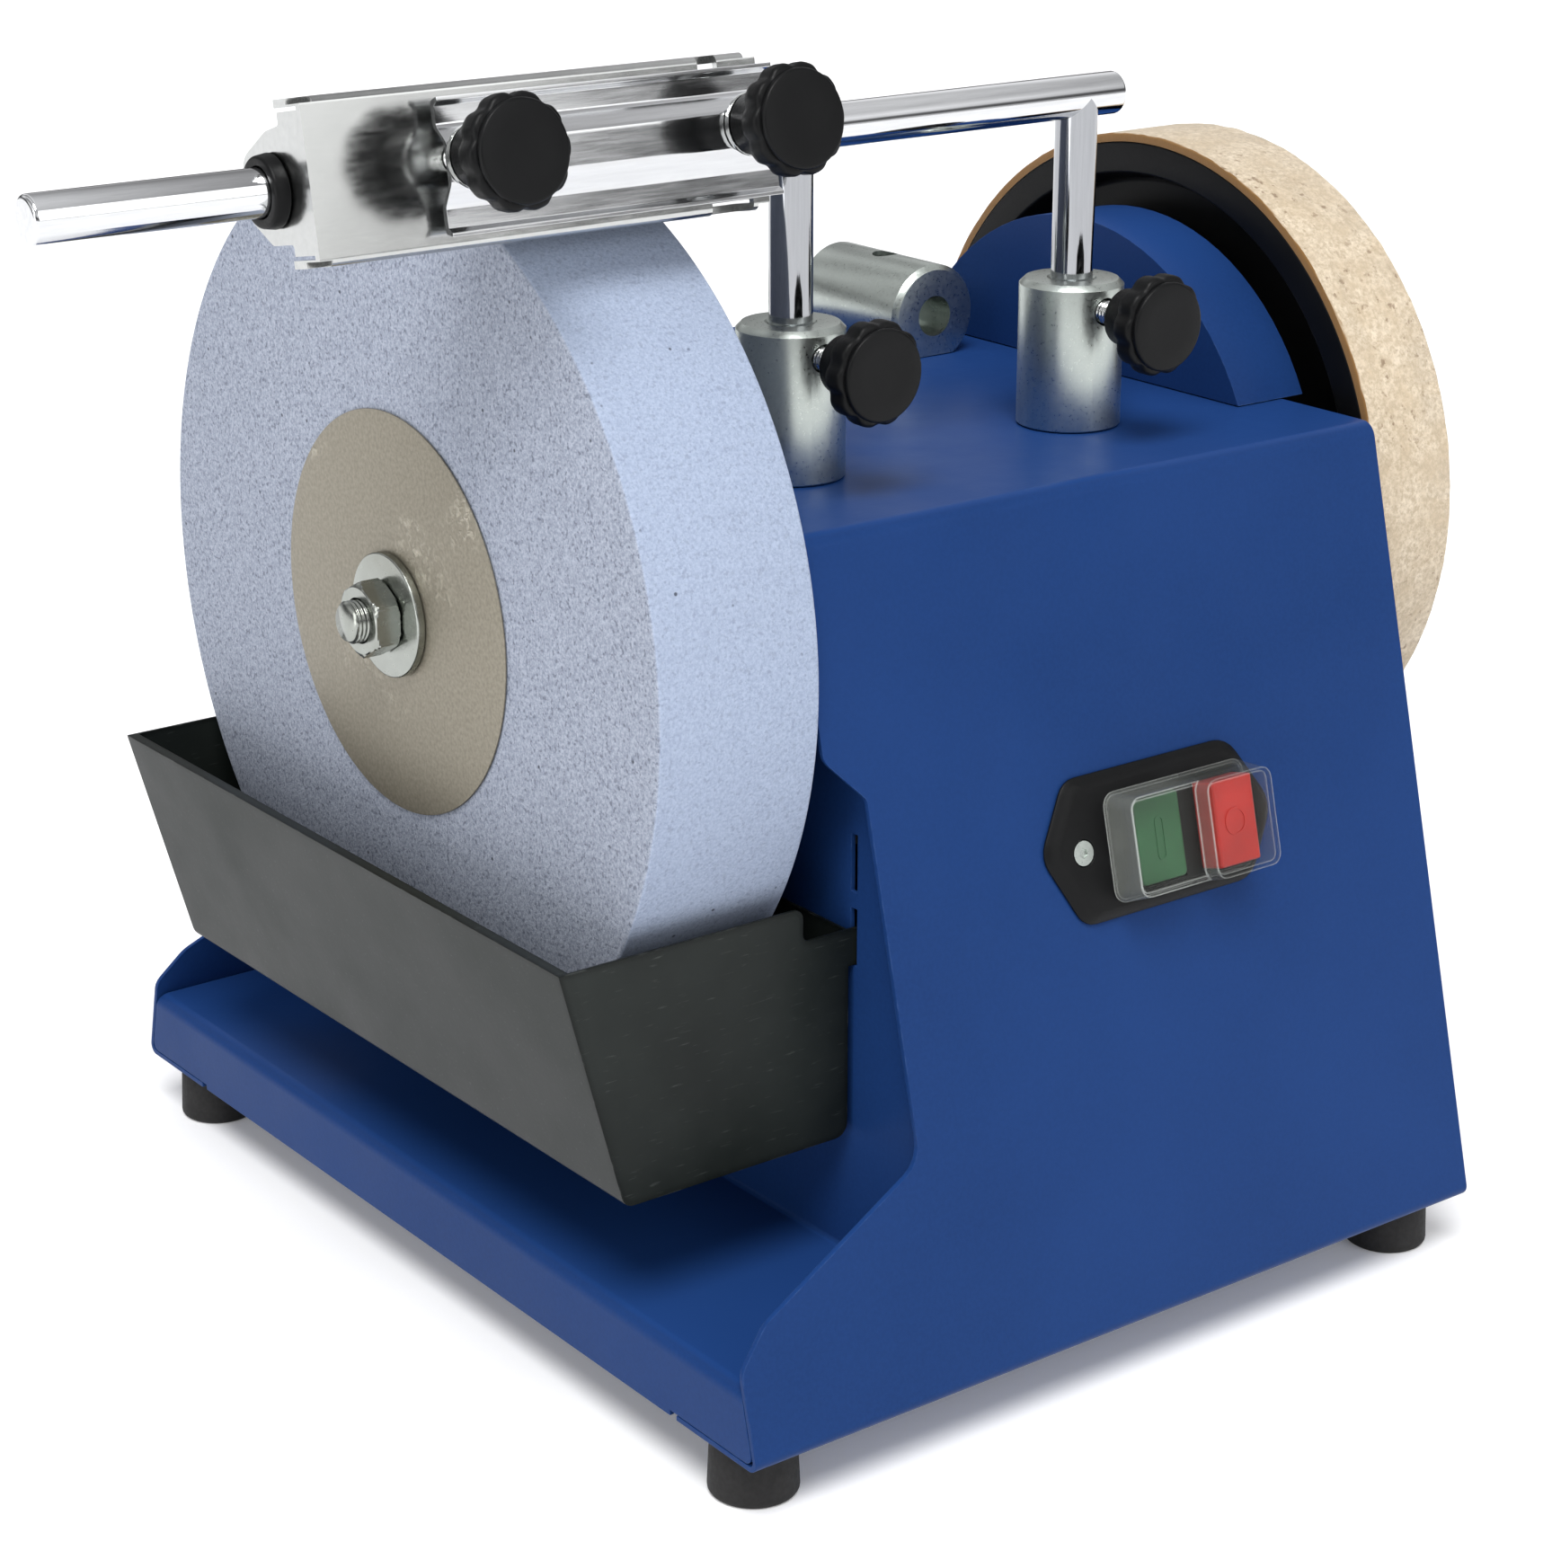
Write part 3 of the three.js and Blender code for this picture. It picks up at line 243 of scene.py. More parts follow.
def metal(name, colour, roughness, brushed, depth=0.02, blotch=0.0, tarnish=(0.3, 0.31, 0.3)):
    """Bare or plated metal; brushed scales the grain on each axis, larger meaning finer."""
    s = Shade(name, Metallic=1.0)
    grain = s.noise(60, detail=6, roughness=0.65, vector=s.stretched(*brushed))
    tone = s.mix(s.ranged(grain, 0.35, 0.65), scaled(colour, 0.9), colour)
    stain = s.maths("MULTIPLY", s.ranged(s.noise(38, detail=5), 0.45, 0.75), blotch)
    s.set(Base_Color=s.mix(stain, tone, tarnish))
    s.set(Roughness=s.ranged(grain, 0.3, 0.7, roughness * 0.75, roughness * 1.25))
    rough = s.bump(grain, depth * MM, 0.4)
    s.set(Normal=s.bump(s.noise(25, detail=1), 0.12 * MM, 0.1, under=rough))
    return s.mat


def moulded(name, colour, roughness, grain=1400, depth=0.04, edge=1.5, coat=0.0, gloss=0.4):
    """Moulded plastic with a fine spark-eroded grain and a painted highlight lightening its edges."""
    s = Shade(name, Coat_Weight=coat, Coat_Roughness=0.12, Specular_IOR_Level=gloss)
    cloud = s.ranged(s.noise(60, detail=4), 0.35, 0.7)
    tone = s.mix(cloud, scaled(colour, 0.85), scaled(colour, 1.15))
    # Painted highlight: edges are mixed towards the colour times the edge factor.
    painted_edge_highlight = s.maths("MULTIPLY", s.edges(0.4 * MM), 0.5)
    s.set(Base_Color=s.mix(painted_edge_highlight, tone, scaled(colour, edge)))
    fine = s.noise(grain, detail=3)
    s.set(Roughness=s.ranged(fine, 0.3, 0.7, roughness - 0.06, roughness + 0.08))
    s.set(Normal=s.bump(fine, depth * MM, 0.5))
    return s.mat


def suede(name, light, dark, side):
    """Leather strip: mottled nap, brown specks and smears, with a darker cut edge."""
    s = Shade(name, Specular_IOR_Level=0.2, Sheen_Weight=0.25, Sheen_Roughness=0.5)
    nap = s.noise(600, detail=5, roughness=0.75)
    mottle = s.ranged(s.noise(95, detail=7, roughness=0.7), 0.38, 0.60)
    tone = s.mix(mottle, dark, light)
    tone = s.mix(s.ranged(nap, 0.40, 0.60), scaled(dark, 0.84), tone)
    specks = s.maths("MULTIPLY", s.ranged(s.noise(330, detail=4), 0.60, 0.68),
                     s.ranged(s.noise(30), 0.45, 0.6))
    tone = s.mix(s.maths("MULTIPLY", specks, 0.65), tone, (0.13, 0.06, 0.02))
    smear = s.ranged(s.noise(24, detail=7, vector=s.stretched(3, 1, 1)), 0.56, 0.76)
    tone = s.mix(s.maths("MULTIPLY", smear, 0.35), tone, scaled(dark, 0.6))
    s.set(Base_Color=s.mix(s.ranged(s.facing(X), 0.35, 0.8), tone, side))
    s.set(Roughness=s.ranged(nap, 0.3, 0.7, 0.75, 0.95))
    s.set(Normal=s.bump(nap, 0.35 * MM, 0.7))
    return s.mat


def clear_hood(out):
    """Splash hood: see-through in front, smoky on its sides, with painted highlights along its edges.

    It is clearer over the red button, past the step in its front.
    """
    step = (0.060, 0.072)
    s = Shade("clear_splash_hood", IOR=1.45)
    # Painted highlight: near-white colour and more opacity along the edges.
    rim = s.edges(0.9 * MM, 0.01, 0.15)
    s.set(Base_Color=s.mix(rim, (0.16, 0.17, 0.155), (0.80, 0.84, 0.80)))
    across = s.node("ShaderNodeSeparateXYZ", inputs={0: s.place})
    walls = s.ranged(s.facing(out), 0.55, 0.95, 0.50, 0.07)
    walls = s.maths("MULTIPLY", walls, s.ranged(across, *step, 1.0, 0.35))
    bright = s.maths("MULTIPLY", rim, s.ranged(across, *step, 0.6, 0.3))
    s.set(Alpha=s.maths("MAXIMUM", walls, bright))
    s.set(Roughness=s.ranged(s.noise(180, detail=3), 0.3, 0.7, 0.06, 0.16))
    s.set(Normal=s.bump(s.noise(90), 0.12 * MM, 0.3))
    return s.mat


JOINTS = {row["name"]: row for row in frame["joints"]}
SLOT_OF = {row["node"]: row["material_slot"] for row in frame["record"]["subparts"]}
PANEL_IN = Vector(JOINTS["green_press"]["axis"])
JIG_OUT = Vector(JOINTS["jig_clamp_open"]["axis"])
MATS = {
    "blue_paint": powder_coat("blue_powder_coat", (0.0105, 0.038, 0.142), (0.10, 0.17, 0.33)),
    "black_paint": tray_paint(),
    "machined_steel": metal("turned_steel", (0.58, 0.63, 0.59), 0.33, (18, 18, 18), 0.008, 0.2),
    "chrome": metal("drawn_chrome_bar", (0.80, 0.81, 0.82), 0.08, (1, 12, 12), 0.006),
    "zinc": metal("bright_zinc_sheet", (0.62, 0.63, 0.62), 0.17, (2, 9, 9), 0.012, 0.15),
    "aluminium": metal("extruded_aluminium", (0.74, 0.75, 0.76), 0.15, (1, 16, 16), 0.02),
    "black_plastic": moulded("black_knob_plastic", (0.0040, 0.0042, 0.0045), 0.40, edge=4.0,
                             gloss=0.16),
    "rubber": moulded("foot_rubber", (0.010, 0.0095, 0.0095), 0.72, grain=700, depth=0.08),
    "stone": sintered_stone(),
    "paper": label_paper(),
    "leather": suede("honing_leather_nap", light=(0.72, 0.62, 0.48), dark=(0.58, 0.47, 0.33),
                     side=(0.27, 0.14, 0.045)),
    "green_plastic": moulded("green_button_plastic", (0.024, 0.110, 0.040), 0.42, depth=0.02),
    "red_plastic": moulded("red_button_plastic", (0.40, 0.022, 0.016), 0.34, depth=0.015, coat=0.2),
    "clear_plastic": clear_hood(PANEL_IN),
    "casting": metal("cast_alloy", (0.34, 0.35, 0.36), 0.5, (3, 3, 3), 0.15, 0.4),
    "bronze": metal("sintered_bronze", (0.50, 0.33, 0.16), 0.35, (14, 1, 1), 0.03, 0.2),
}
HARDWARE = metal("dull_zinc_hardware", (0.40, 0.42, 0.39), 0.24, (3, 6, 6), 0.02, 0.35,
                 tarnish=(0.20, 0.19, 0.15))
# Painted shade: the legs get a darker copy of the bar's chrome.
SHADED_LEG_CHROME = metal("drawn_chrome_leg_painted_shade", (0.42, 0.43, 0.45), 0.10, (30, 30, 1), 0.01)


# ---------------------------------------------------------------- mesh tools


def object_from(bm, name, mat, sharp=35):
    """A smooth-shaded object whose edges over an angle stay crisp."""
    bmesh.ops.recalc_face_normals(bm, faces=bm.faces)
    for face in bm.faces:
        face.smooth = True
    for edge in bm.edges:
        if len(edge.link_faces) == 2 and edge.calc_face_angle(0) > math.radians(sharp):
            edge.smooth = False
    mesh = bpy.data.meshes.new(name)
    bm.to_mesh(mesh)
    bm.free()
    mesh.materials.append(mat)
    piece = bpy.data.objects.new(name, mesh)
    bpy.context.scene.collection.objects.link(piece)
    return piece


def body_of(node):
    for body, nodes in frame["record"]["behaviour"]["bodies"].items():
        if node in nodes:
            return body
    raise KeyError(node)


def stands_for(piece, node):
    """The piece takes a CAD node's place and body."""
    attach(piece, body_of(node))
    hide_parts(node)


def refined(node, bevel, segments=2, sharp=40):
    """The CAD node's shape with rounded-over edges and smooth bends."""
    source = frame["nodes"][node]
    bm = bmesh.new()
    bm.from_mesh(source.data)
    bmesh.ops.remove_doubles(bm, verts=bm.verts, dist=2e-6)
    bmesh.ops.dissolve_limit(bm, angle_limit=math.radians(0.6), verts=bm.verts, edges=bm.edges)
    crisp = [e for e in bm.edges if len(e.link_faces) == 2 and
             math.degrees(e.calc_face_angle(0)) > sharp]
    bmesh.ops.bevel(bm, geom=crisp, offset=bevel * MM, segments=segments, profile=0.6,
                    affect="EDGES", clamp_overlap=True, harden_normals=False)
    piece = object_from(bm, node + "_finish", MATS[SLOT_OF[node]], sharp)
    piece.modifiers.new("even_flats", "WEIGHTED_NORMAL").keep_sharp = True
    stands_for(piece, node)


def filleted(points, steps=4):
    """A closed outline in which a point's third number rounds its corner by that radius."""
    done = []
    for i, (a, b, *rest) in enumerate(points):
        here = Vector((a, b))
        if not rest:
            done.append((a, b))
            continue
        before = (Vector(points[i - 1][:2]) - here).normalized()
        after = (Vector(points[(i + 1) % len(points)][:2]) - here).normalized()
        half = before.angle(after) / 2
        tangent = rest[0] / math.tan(half)
        centre = here + (before + after).normalized() * (rest[0] / math.sin(half))
        start = here + before * tangent - centre
        end = here + after * tangent - centre
        sweep = start.angle_signed(end)
        for k in range(steps + 1):
            turn = -sweep * k / steps
            c, s = math.cos(turn), math.sin(turn)
            done.append((centre.x + start.x * c - start.y * s,
                         centre.y + start.x * s + start.y * c))
    return done


def turned(name, rings, at, axis, mat, segments=128, shape=None, sharp=35):
    """A turned piece: rings are (along, radius) in mm from the point at, along the axis.

    Rings of radius 0 close an end; otherwise the last ring joins the first. shape(angle, along,
    radius) may change a ring's radius as it goes round, for threads, lobes and flats.
    """
    side = axis.orthogonal().normalized() if abs(axis.z) > 0.9 else axis.cross(Z).normalized()
    other = axis.cross(side)
    bm = bmesh.new()
    loops = []
    for along, radius in rings:
        centre = at + axis * along * MM
        if radius == 0:
            loops.append([bm.verts.new(centre)])
            continue
        loop = []
        for k in range(segments):
            a = 2 * math.pi * k / segments
            r = (shape(a, along, radius) if shape else radius) * MM
            loop.append(bm.verts.new(centre + side * r * math.cos(a) + other * r * math.sin(a)))
        loops.append(loop)
    closed = len(loops[0]) == 1 and len(loops[-1]) == 1
    pairs = list(zip(loops, loops[1:]))
    if not closed:
        pairs.append((loops[-1], loops[0]))
    for one, two in pairs:
        for k in range(segments):
            n = (k + 1) % segments
            corners = [one[k % len(one)], one[n % len(one)],
                       two[n % len(two)], two[k % len(two)]]
            bm.faces.new(list(dict.fromkeys(corners)))
    return object_from(bm, name, mat, sharp)


def drawn(name, outline, at, across, up, lo, hi, mat, bevel=0.0):
    """An outline in mm, in the across and up directions from at, drawn out between lo and hi."""
    along = across.cross(up)
    bm = bmesh.new()
    ends = [[bm.verts.new(at + (across * a + up * b + along * d) * MM) for a, b in outline]
            for d in (lo, hi)]
    bm.faces.new(ends[0][::-1])
    bm.faces.new(ends[1])
    for k in range(len(outline)):
        n = (k + 1) % len(outline)
        bm.faces.new([ends[0][k], ends[0][n], ends[1][n], ends[1][k]])
    if bevel:
        rims = [e for e in bm.edges if e.calc_face_angle(0) > math.radians(50)]
        bmesh.ops.bevel(bm, geom=rims, offset=bevel * MM, segments=2, profile=0.6,
                        affect="EDGES", clamp_overlap=True)
    piece = object_from(bm, name, mat)
    piece.modifiers.new("even_flats", "WEIGHTED_NORMAL").keep_sharp = True
    return piece


def carved(piece, *tools):
    """Cuts tool objects out of a piece and removes them."""
    for tool in tools:
        cut = piece.modifiers.new("cut", "BOOLEAN")
        cut.operation = "DIFFERENCE"
        cut.solver = "EXACT"
        cut.object = tool
    bpy.context.view_layer.update()
    shape = piece.evaluated_get(bpy.context.evaluated_depsgraph_get())
    mesh = bpy.data.meshes.new_from_object(shape)
    piece.modifiers.clear()
    old = piece.data
    piece.data = mesh
    bpy.data.meshes.remove(old)
    for tool in tools:
        bpy.data.objects.remove(tool)
    bm = bmesh.new()
    bm.from_mesh(piece.data)
    for face in bm.faces:
        face.smooth = True
    for edge in bm.edges:
        crisp = len(edge.link_faces) == 2 and edge.calc_face_angle(0) > math.radians(35)
        edge.smooth = not crisp
    bm.to_mesh(piece.data)
    bm.free()
    return piece


def middle(node):
    """The middle of a CAD node's box."""
    lo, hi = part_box(node)
    return (Vector(lo) + Vector(hi)) / 2


def span(node):
    """Where a CAD node begins and ends along the shaft."""
    lo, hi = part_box(node)
    return lo[0], hi[0]


def reach(node, direction, start):
    """How far a CAD node extends from a point along a direction, least and most, in mm."""
    rows = [(v.co - start).dot(direction) / MM for v in frame["nodes"][node].data.vertices]
    return min(rows), max(rows)


# ---------------------------------------------------------------- places (m) and sizes (mm)

SHAFT = Vector((0, *middle("main_shaft").yz))
BAR = Vector((0, *middle("support_bar").yz))
ROD_R = 6  # support bar, legs and threaded shaft ends
ROD_BORE = 6.3
SLEEVE_R = 15
CLAMP_HOLE_R = 4
STUD_R = 3.4
THREAD_PITCH = 1.25
THREAD_DEPTH = 0.55
NUT_FLATS = 19
HONE_RIM_R = 101.2
LEATHER_IN_R = 101.4
LEATHER_OUT_R = 104.0


# ---------------------------------------------------------------- machine


def housing():
    for node in ("housing_cover", "left_wall_and_shelf", "right_wall", "drum_cover"):
        refined(node, bevel=0.3)
    refined("bottom_plate", bevel=0.2)
    refined("water_tray", bevel=0.25)


def feet():
    for end in ("front", "rear"):
        for side in ("left", "right"):
            node = f"foot_{end}_{side}"
            lo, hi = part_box(node)
            r = (hi[0] - lo[0]) / 2 / MM
            top = hi[2] / MM
            profile = filleted([(4, 0), (4, 3.5), (0, 3.5), (0, r, 1.6), (top, r - 0.8, 0.8),
                                (top, 0)])
            at = middle(node)
            at.z = 0
            stands_for(turned(node + "_finish", profile, at, Z, MATS["rubber"], 96), node)


def sleeve_rings(length, outer, foot):
    """A sleeve's section: a turned chamfer at the far end, foot the size of the near one."""
    bevel = 1.6
    lead = 0.8
    return filleted([(0, ROD_BORE), (0, outer - foot, 0.1), (foot, outer, 0.1),
                     (length - bevel, outer, 0.15), (length, outer - bevel, 0.15),
                     (length, ROD_BORE + lead), (length - lead, ROD_BORE)], 2)


def clamp_hole(at, way, length):
    """A tool that cuts the clamp stud's hole from a sleeve's axis outwards."""
    rings = [(0, 0), (0, CLAMP_HOLE_R), (length, CLAMP_HOLE_R), (length, 0)]
    return turned("hole", rings, at, way, MATS["machined_steel"], 48)


def vertical_sleeve(side):
    node = f"vertical_sleeve_{side}"
    lo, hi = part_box(node)
    at = middle(node)
    at.z = lo[2]
    rings = sleeve_rings((hi[2] - lo[2]) / MM, SLEEVE_R, 0.4)
    tube = turned(node + "_finish", rings, at, Z, MATS["machined_steel"])
    stud = middle(f"sleeve_clamp_stud_{side}")
    hole = clamp_hole(Vector((stud.x, at.y, stud.z)), -Y, 40)
    stands_for(carved(tube, hole), node)


def rear_sleeve(side):
    """A lying sleeve with a flat underside and a clamp hole in its top."""
    steel = MATS["machined_steel"]
    node = f"rear_sleeve_{side}"
    lo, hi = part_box(node)
    r = (hi[0] - lo[0]) / 2
    at = Vector((middle(node).x, lo[1], hi[2] - r))
    length = (hi[1] - lo[1]) / MM
    tube = turned(node + "_finish", sleeve_rings(length, r / MM, 1.6), at, Y, steel)
    wide = 30
    below = [(-wide, -wide), (wide, -wide), (wide, 0), (-wide, 0)]
    under = drawn("under", below, Vector((at.x, at.y, lo[2])), X, Z, -80, 20, steel)
    hole = clamp_hole(at + Y * length * MM / 2, Z, 30)
    stands_for(carved(tube, under, hole), node)


def sleeves():
    for side in ("left", "right"):
        vertical_sleeve(side)
        rear_sleeve(side)


def clamp_knob(name, at, outward, depth):
    """Knob of ten lobes round a flat cap: at is the middle of its outer face, depth its length."""
    lobes = 10
    lobe_depth = 0.95
    groove = -1.7
    head = 8.7

    def lobed(a, along, r):
        if along >= groove:
            return r
        scallop = ((1 - math.cos(lobes * a)) / 2) ** 2
        return r - lobe_depth * scallop * min(1, max(0, (r - 11.5) / 2))

    cap = [(-0.25, 0), (-0.1, 7), (0, 11.6), (-0.12, 12.1), (-0.5, 12.4), (-1.1, 12.5),
           (groove, 12.3)]
    grip = [(groove - 0.01, 12.35), (-1.75, 12.9), (-1.9, 13.5), (-2.5, 14.05), (-3.3, 14.2),
            (-6.2, 14.15), (1 - head, 13.9), (0.3 - head, 13.2), (-head, 12.2)]
    neck = [(-head - 0.5, 9.4), (-head - 1.3, 8.2), (0.6 - depth, 8), (-depth, 7.4), (-depth, 0)]
    return turned(name, cap + grip + neck, at, outward, MATS["black_plastic"], 160, lobed, sharp=48)


def threaded_rod(name, at, axis, length, radius, mat, chamfer=0.8):
    """A rod with a rolled thread from its chamfered tip on."""
    def thread(a, along, r):
        if r != radius:
            return r
        phase = (along / THREAD_PITCH + a / (2 * math.pi)) % 1
        return r - THREAD_DEPTH * abs(2 * phase - 1)

    steps = int(length / 0.2)
    run = length - chamfer
    rings = [(0, 0), (0, radius - chamfer)]
    rings += [(chamfer + run * k / steps, radius) for k in range(steps + 1)]
    rings += [(length, 0)]
    return turned(name, rings, at, axis, mat, 40, thread, sharp=75)


def front_of(node):
    """The middle of a CAD node's front end, and its length from front to back in mm."""
    lo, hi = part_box(node)
    at = middle(node)
    at.y = lo[1]
    return at, (hi[1] - lo[1]) / MM


def clamps():
    for side in ("left", "right"):
        knob = f"sleeve_clamp_knob_{side}"
        at, depth = front_of(knob)
        stands_for(clamp_knob(knob + "_finish", at, -Y, depth), knob)
        stud = f"sleeve_clamp_stud_{side}"
        at, length = front_of(stud)
        rod = threaded_rod(stud + "_finish", at, Y, length, STUD_R, MATS["zinc"])
        stands_for(rod, stud)


def support():
    x0, x1 = span("support_bar")
    length = (x1 - x0) / MM
    rings = filleted([(0, 0), (0, ROD_R, 1.3), (length, ROD_R, 1.1), (length, 0)])
    bar = turned("support_bar_finish", rings, BAR + X * x0, X, MATS["chrome"])
    stands_for(bar, "support_bar")
    for side in ("left", "right"):
        node = f"support_leg_{side}"
        at = middle(node)
        at.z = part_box(node)[0][2]
        rise = (BAR.z - at.z) / MM
        rings = filleted([(0, 0), (0, ROD_R, 1), (rise, ROD_R), (rise, 0)])
        stands_for(turned(node + "_finish", rings, at, Z, SHADED_LEG_CHROME), node)


def hexagonal(a, along, r):
    """Cuts a turned shape down to a nut's six flats."""
    sector = (a + math.pi / 6) % (math.pi / 3) - math.pi / 6
    return min(r, NUT_FLATS / 2 / math.cos(sector))


def nut(node):
    x0, x1 = span(node)
    h = (x1 - x0) / MM
    end = [(0.15, 6.4), (0, 7), (0, 9.2), (0.35, 9.9), (0.8, 10.5), (1.3, 11.2)]
    rings = end + [(h - along, r) for along, r in reversed(end)]
    piece = turned(node + "_finish", rings, SHAFT + X * x0, X, HARDWARE, 240, hexagonal, sharp=25)
    stands_for(piece, node)


def ring_piece(node, inner, edge, segments=160, mat=None):
    """A flat ring on the shaft with rounded rims."""
    lo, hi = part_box(node)
    outer = (hi[1] - lo[1]) / 2 / MM
    h = (hi[0] - lo[0]) / MM
    rings = filleted([(0, inner), (0, outer, edge), (h, outer, edge), (h, inner)])
    at = SHAFT + X * lo[0]
    piece = turned(node + "_finish", rings, at, X, mat or MATS[SLOT_OF[node]], segments)
    stands_for(piece, node)


def wheels():
    ring_piece("grindstone", ROD_BORE, 1.0, 256)
    ring_piece("stone_label", 8, 0.15, 200)
    for washer in ("stone_outer_washer", "stone_inner_washer", "honing_washer"):
        ring_piece(washer, ROD_BORE, 0.5, mat=HARDWARE)
    nut("stone_nut")
    nut("honing_nut")
    shaft()
    honing_wheel()
    honing_leather()


def shaft():
    """Main shaft with a collar behind the stone and a thread at each end."""
    x0, x1 = span("main_shaft")
    left = SHAFT + X * x0
    right = SHAFT + X * x1
    left_thread = 15
    right_thread = 16
    plain_end = (x1 - x0) / MM - right_thread
    collar, collar_end, collar_r = 66, 80, 10
    thick_end, thick_r = 250, 8
    rings = filleted([(left_thread, 0), (left_thread, ROD_R), (collar, ROD_R), (collar, collar_r),
                      (collar_end, collar_r), (collar_end, thick_r), (thick_end, thick_r),
                      (thick_end, ROD_R), (plain_end, ROD_R), (plain_end, 0)])
    body = turned("main_shaft_finish", rings, left, X, MATS["machined_steel"], 96)
    stands_for(body, "main_shaft")
    for name, start, way, length in (("main_shaft_left_thread", left, X, left_thread),
                                     ("main_shaft_right_thread", right, -X, right_thread)):
        rod = threaded_rod(name, start, way, length, ROD_R, HARDWARE, 1.0)
        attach(rod, "shaft_and_wheels")


def honing_wheel():
    """Moulded wheel with hollow sides between its hub and its rim."""
    x0, x1 = span("honing_wheel")
    w = (x1 - x0) / MM
    inner = 92.0
    hollow = 9
    side = [(0, ROD_BORE), (0, 18, 1), (hollow, 21, 2), (hollow, inner - 2.5, 2), (0, inner, 0.8)]
    far = [(w - a, *rest) for a, *rest in reversed(side)]
    rings = filleted([*side, (0, HONE_RIM_R, 0.4), (w, HONE_RIM_R, 0.4), *far])
    wheel = turned("honing_wheel_finish", rings, SHAFT + X * x0, X, MATS["black_plastic"], 224)
    stands_for(wheel, "honing_wheel")


def honing_leather():
    """Leather strip round the honing wheel, uneven on its face and frayed at both edges."""
    x0, x1 = span("honing_leather")
    w = (x1 - x0) / MM

    def frayed(a, along, r):
        if r <= LEATHER_IN_R + 0.6:
            return r
        place = Vector((math.cos(a) * 9, math.sin(a) * 9, along))
        fray = noise.noise(place * 2.3) * 0.22 + noise.noise(place * 9) * 0.12
        near_edge = min(along, w - along) < 1.2
        return r + (fray if near_edge else fray * 0.35)

    rings = filleted([(0, LEATHER_IN_R), (0, LEATHER_OUT_R, 0.7), (w / 2, LEATHER_OUT_R + 0.1),
                      (w, LEATHER_OUT_R, 0.7), (w, LEATHER_IN_R)], 3)
    strip = turned("honing_leather_finish", rings, SHAFT + X * x0, X, MATS["leather"], 360, frayed)
    stands_for(strip, "honing_leather")


def jig():
    refined("jig_body", bevel=0.35)
    refined("jig_clamp_plate", bevel=0.3)
    for side, way in (("left", 1), ("right", -1)):
        jig_bush(side, way)
        jig_stud_and_knob(side)


def jig_bush(side, way):
    """A flanged bush on the bar: way is 1 where it points right and -1 where it points left."""
    node = f"jig_bush_{side}"
    left, right = span(node)
    at = BAR + X * (left if way > 0 else right)
    flange = 4
    length = 9.3
    rings = filleted([(0, ROD_BORE, 0.3), (0, 8.6, 0.8), (flange, 9.2, 0.6), (flange, 7.9),
                      (length, 7.9, 0.5), (length, ROD_BORE)])
    stands_for(turned(node + "_finish", rings, at, X * way, MATS["black_plastic"]), node)


def jig_stud_and_knob(side):
    zinc = MATS["zinc"]
    at = Vector(JOINTS[f"jig_{side}_knob_turn"]["pos_m"])
    knob = f"jig_knob_{side}"
    inner, outer = reach(knob, JIG_OUT, at)
    face = at + JIG_OUT * outer * MM
    stands_for(clamp_knob(knob + "_finish", face, JIG_OUT, outer - inner), knob)
    stud = f"jig_stud_{side}"
    back, tip = reach(stud, JIG_OUT, at)
    head_t = 3
    head_r = 6.4
    rings = filleted([(-1, 0), (-1, STUD_R), (0, STUD_R), (0, head_r, 0.3), (head_t, head_r, 1),
                      (head_t, 0)])
    under_head = at + JIG_OUT * (back + head_t) * MM
    stands_for(turned(stud + "_finish", rings, under_head, -JIG_OUT, zinc, 96), stud)
    length = tip - back - head_t - 0.8
    rod = threaded_rod(stud + "_thread", at + JIG_OUT * tip * MM, -JIG_OUT, length, STUD_R, zinc)
    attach(rod, "jig")
    refined(f"jig_washer_{side}", bevel=0.25)


def switch():
    refined("switch_plate", bevel=0.9, segments=4)
    refined("switch_body", bevel=0.4)
    refined("switch_cover", bevel=0.7, segments=3, sharp=25)
    refined("switch_screw", bevel=0.15)
    refined("green_button", bevel=0.7, segments=3)
    refined("red_button", bevel=0.8, segments=3)
    symbol("green_button", wide=1.7, high=6.2, corner=1.6)
    symbol("red_button", wide=3.9, high=3.9, corner=3.8)


def symbol(button, wide, high, corner):
    """A raised outline of a bar or a ring in the middle of a button's front; half sizes."""
    out = -PANEL_IN
    up = out.cross(X)
    centre = middle(button)
    top = reach(button, out, centre)[1]
    line = 0.6

    def outline(inset):
        w, h, r = wide - inset, high - inset, corner - inset
        return filleted([(-w, -h, r), (w, -h, r), (w, h, r), (-w, h, r)], 6)

    mat = MATS[SLOT_OF[button]]
    root, crest = top - 0.6, top + 0.25
    mark = drawn(button + "_symbol", outline(0), centre, X, up, root, crest, mat, 0.08)
    carved(mark, drawn("tool", outline(line), centre, X, up, top - 2, top + 2, mat))
    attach(mark, button)


def inside():
    """Pieces behind the sheet metal keep their CAD shape and get their finish."""
    for node, slot in SLOT_OF.items():
        carried = frame["nodes"][node]
        carried.data.materials.clear()
        carried.data.materials.append(MATS[slot])


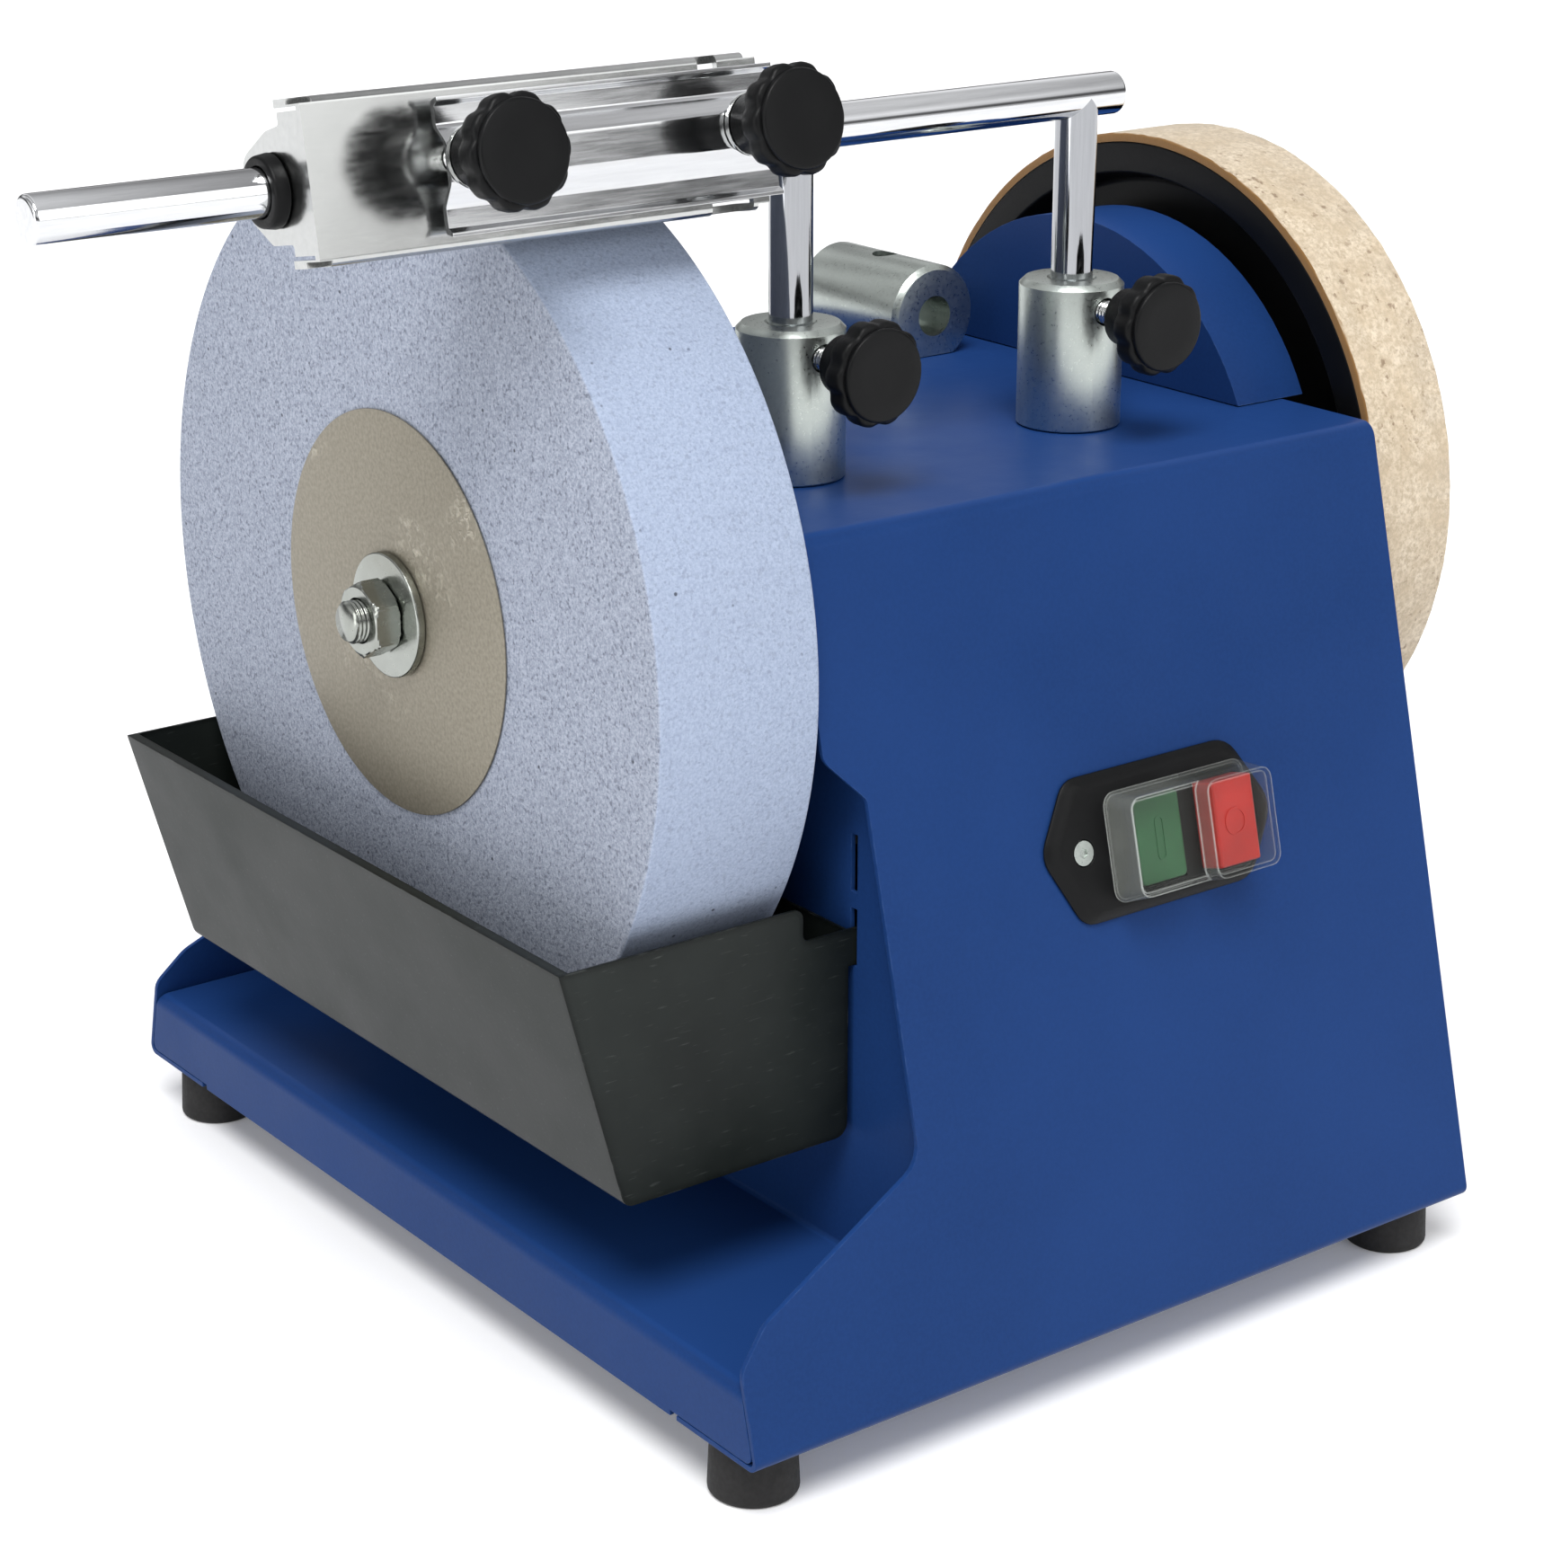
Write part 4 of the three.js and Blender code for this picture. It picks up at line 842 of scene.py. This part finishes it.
def stage():
    """A pale floor that is wide enough to fill the view behind the machine."""
    half = 60
    corners = [(-half, -half, 0), (half, -half, 0), (half, half, 0), (-half, half, 0)]
    floor = bpy.data.meshes.new("floor")
    floor.from_pydata(corners, [], [(0, 1, 2, 3)])
    s = Shade("pale_floor", Roughness=0.8, Specular_IOR_Level=0.2, Emission_Strength=0.10)
    s.set(Emission_Color=(1.0, 1.0, 1.0))
    s.set(Base_Color=s.mix(s.ranged(s.noise(3), 0.4, 0.6), (0.93, 0.93, 0.94), (0.96, 0.96, 0.96)))
    floor.materials.append(s.mat)
    plane = bpy.data.objects.new("floor", floor)
    bpy.context.scene.collection.objects.link(plane)


def lamp(name, kind, place, power, **settings):
    """A light at a place that shines on the middle of the machine."""
    data = bpy.data.lights.new(name, kind)
    data.energy = power
    for key, value in settings.items():
        setattr(data, key, value)
    made = bpy.data.objects.new(name, data)
    made.location = place
    aim = Vector((0, 0, 0.18)) - Vector(place)
    made.rotation_euler = aim.to_track_quat("-Z", "Y").to_euler()
    bpy.context.scene.collection.objects.link(made)


def studio():
    """White tent: bright overhead, a dark band low down and soft flags that give metal contrast."""
    world = bpy.data.worlds.new("studio")
    world.use_nodes = True
    nodes = world.node_tree.nodes
    link = world.node_tree.links.new
    place = nodes.new("ShaderNodeTexCoord").outputs["Generated"]
    split = nodes.new("ShaderNodeSeparateXYZ")
    link(place, split.inputs[0])
    height = nodes.new("ShaderNodeValToRGB")
    ramp = height.color_ramp
    # Height above the horizon, and how bright the tent is there.
    bands = ((0.0, 0.70), (0.06, 0.60), (0.12, 0.10), (0.22, 0.16), (0.30, 0.80), (0.42, 1.0),
             (0.62, 0.62), (1.0, 0.97))
    for position, _ in bands[1:-1]:
        ramp.elements.new(position)
    for element, (_, value) in zip(ramp.elements, bands):
        element.color = (value, value, value * 1.02, 1)
    link(split.outputs["Z"], height.inputs["Fac"])
    flags = nodes.new("ShaderNodeTexWave")
    flags.bands_direction = "X"
    flags.inputs["Scale"].default_value = 0.62
    flags.inputs["Phase Offset"].default_value = 1.1
    link(place, flags.inputs["Vector"])
    flagged = nodes.new("ShaderNodeMix")
    flagged.data_type = "RGBA"
    flagged.blend_type = "MULTIPLY"
    flagged.inputs[0].default_value = 0.62
    link(height.outputs["Color"], flagged.inputs[6])
    link(flags.outputs["Color"], flagged.inputs[7])
    link(flagged.outputs[2], nodes["Background"].inputs["Color"])
    nodes["Background"].inputs["Strength"].default_value = 1.0
    bpy.context.scene.world = world


def lights():
    studio()
    lamp("key", "SUN", (-0.9, -1.1, 2.6), 2.4, angle=math.radians(28))
    lamp("front", "SUN", (0.6, -2.0, 1.0), 0.5, angle=math.radians(40))
    lamp("left", "AREA", (-1.5, -0.3, 0.5), 5, shape="RECTANGLE", size=0.5, size_y=1.2)


def camera():
    data = bpy.data.cameras.new("camera")
    data.lens = CAMERA_LENS
    data.clip_start = 0.05
    cam = bpy.data.objects.new("camera", data)
    a, e = CAMERA_AZIMUTH, CAMERA_ELEVATION
    back = Vector((math.sin(a) * math.cos(e), -math.cos(a) * math.cos(e), math.sin(e)))
    cam.location = Vector(CAMERA_TARGET) + back * CAMERA_DISTANCE
    cam.rotation_mode = "QUATERNION"
    cam.rotation_quaternion = (-back).to_track_quat("-Z", "Y")
    bpy.context.scene.collection.objects.link(cam)
    bpy.context.scene.camera = cam


camera()
lights()
stage()
inside()
housing()
feet()
sleeves()
clamps()
support()
wheels()
jig()
switch()
bpy.context.scene.view_settings.view_transform = "Standard"
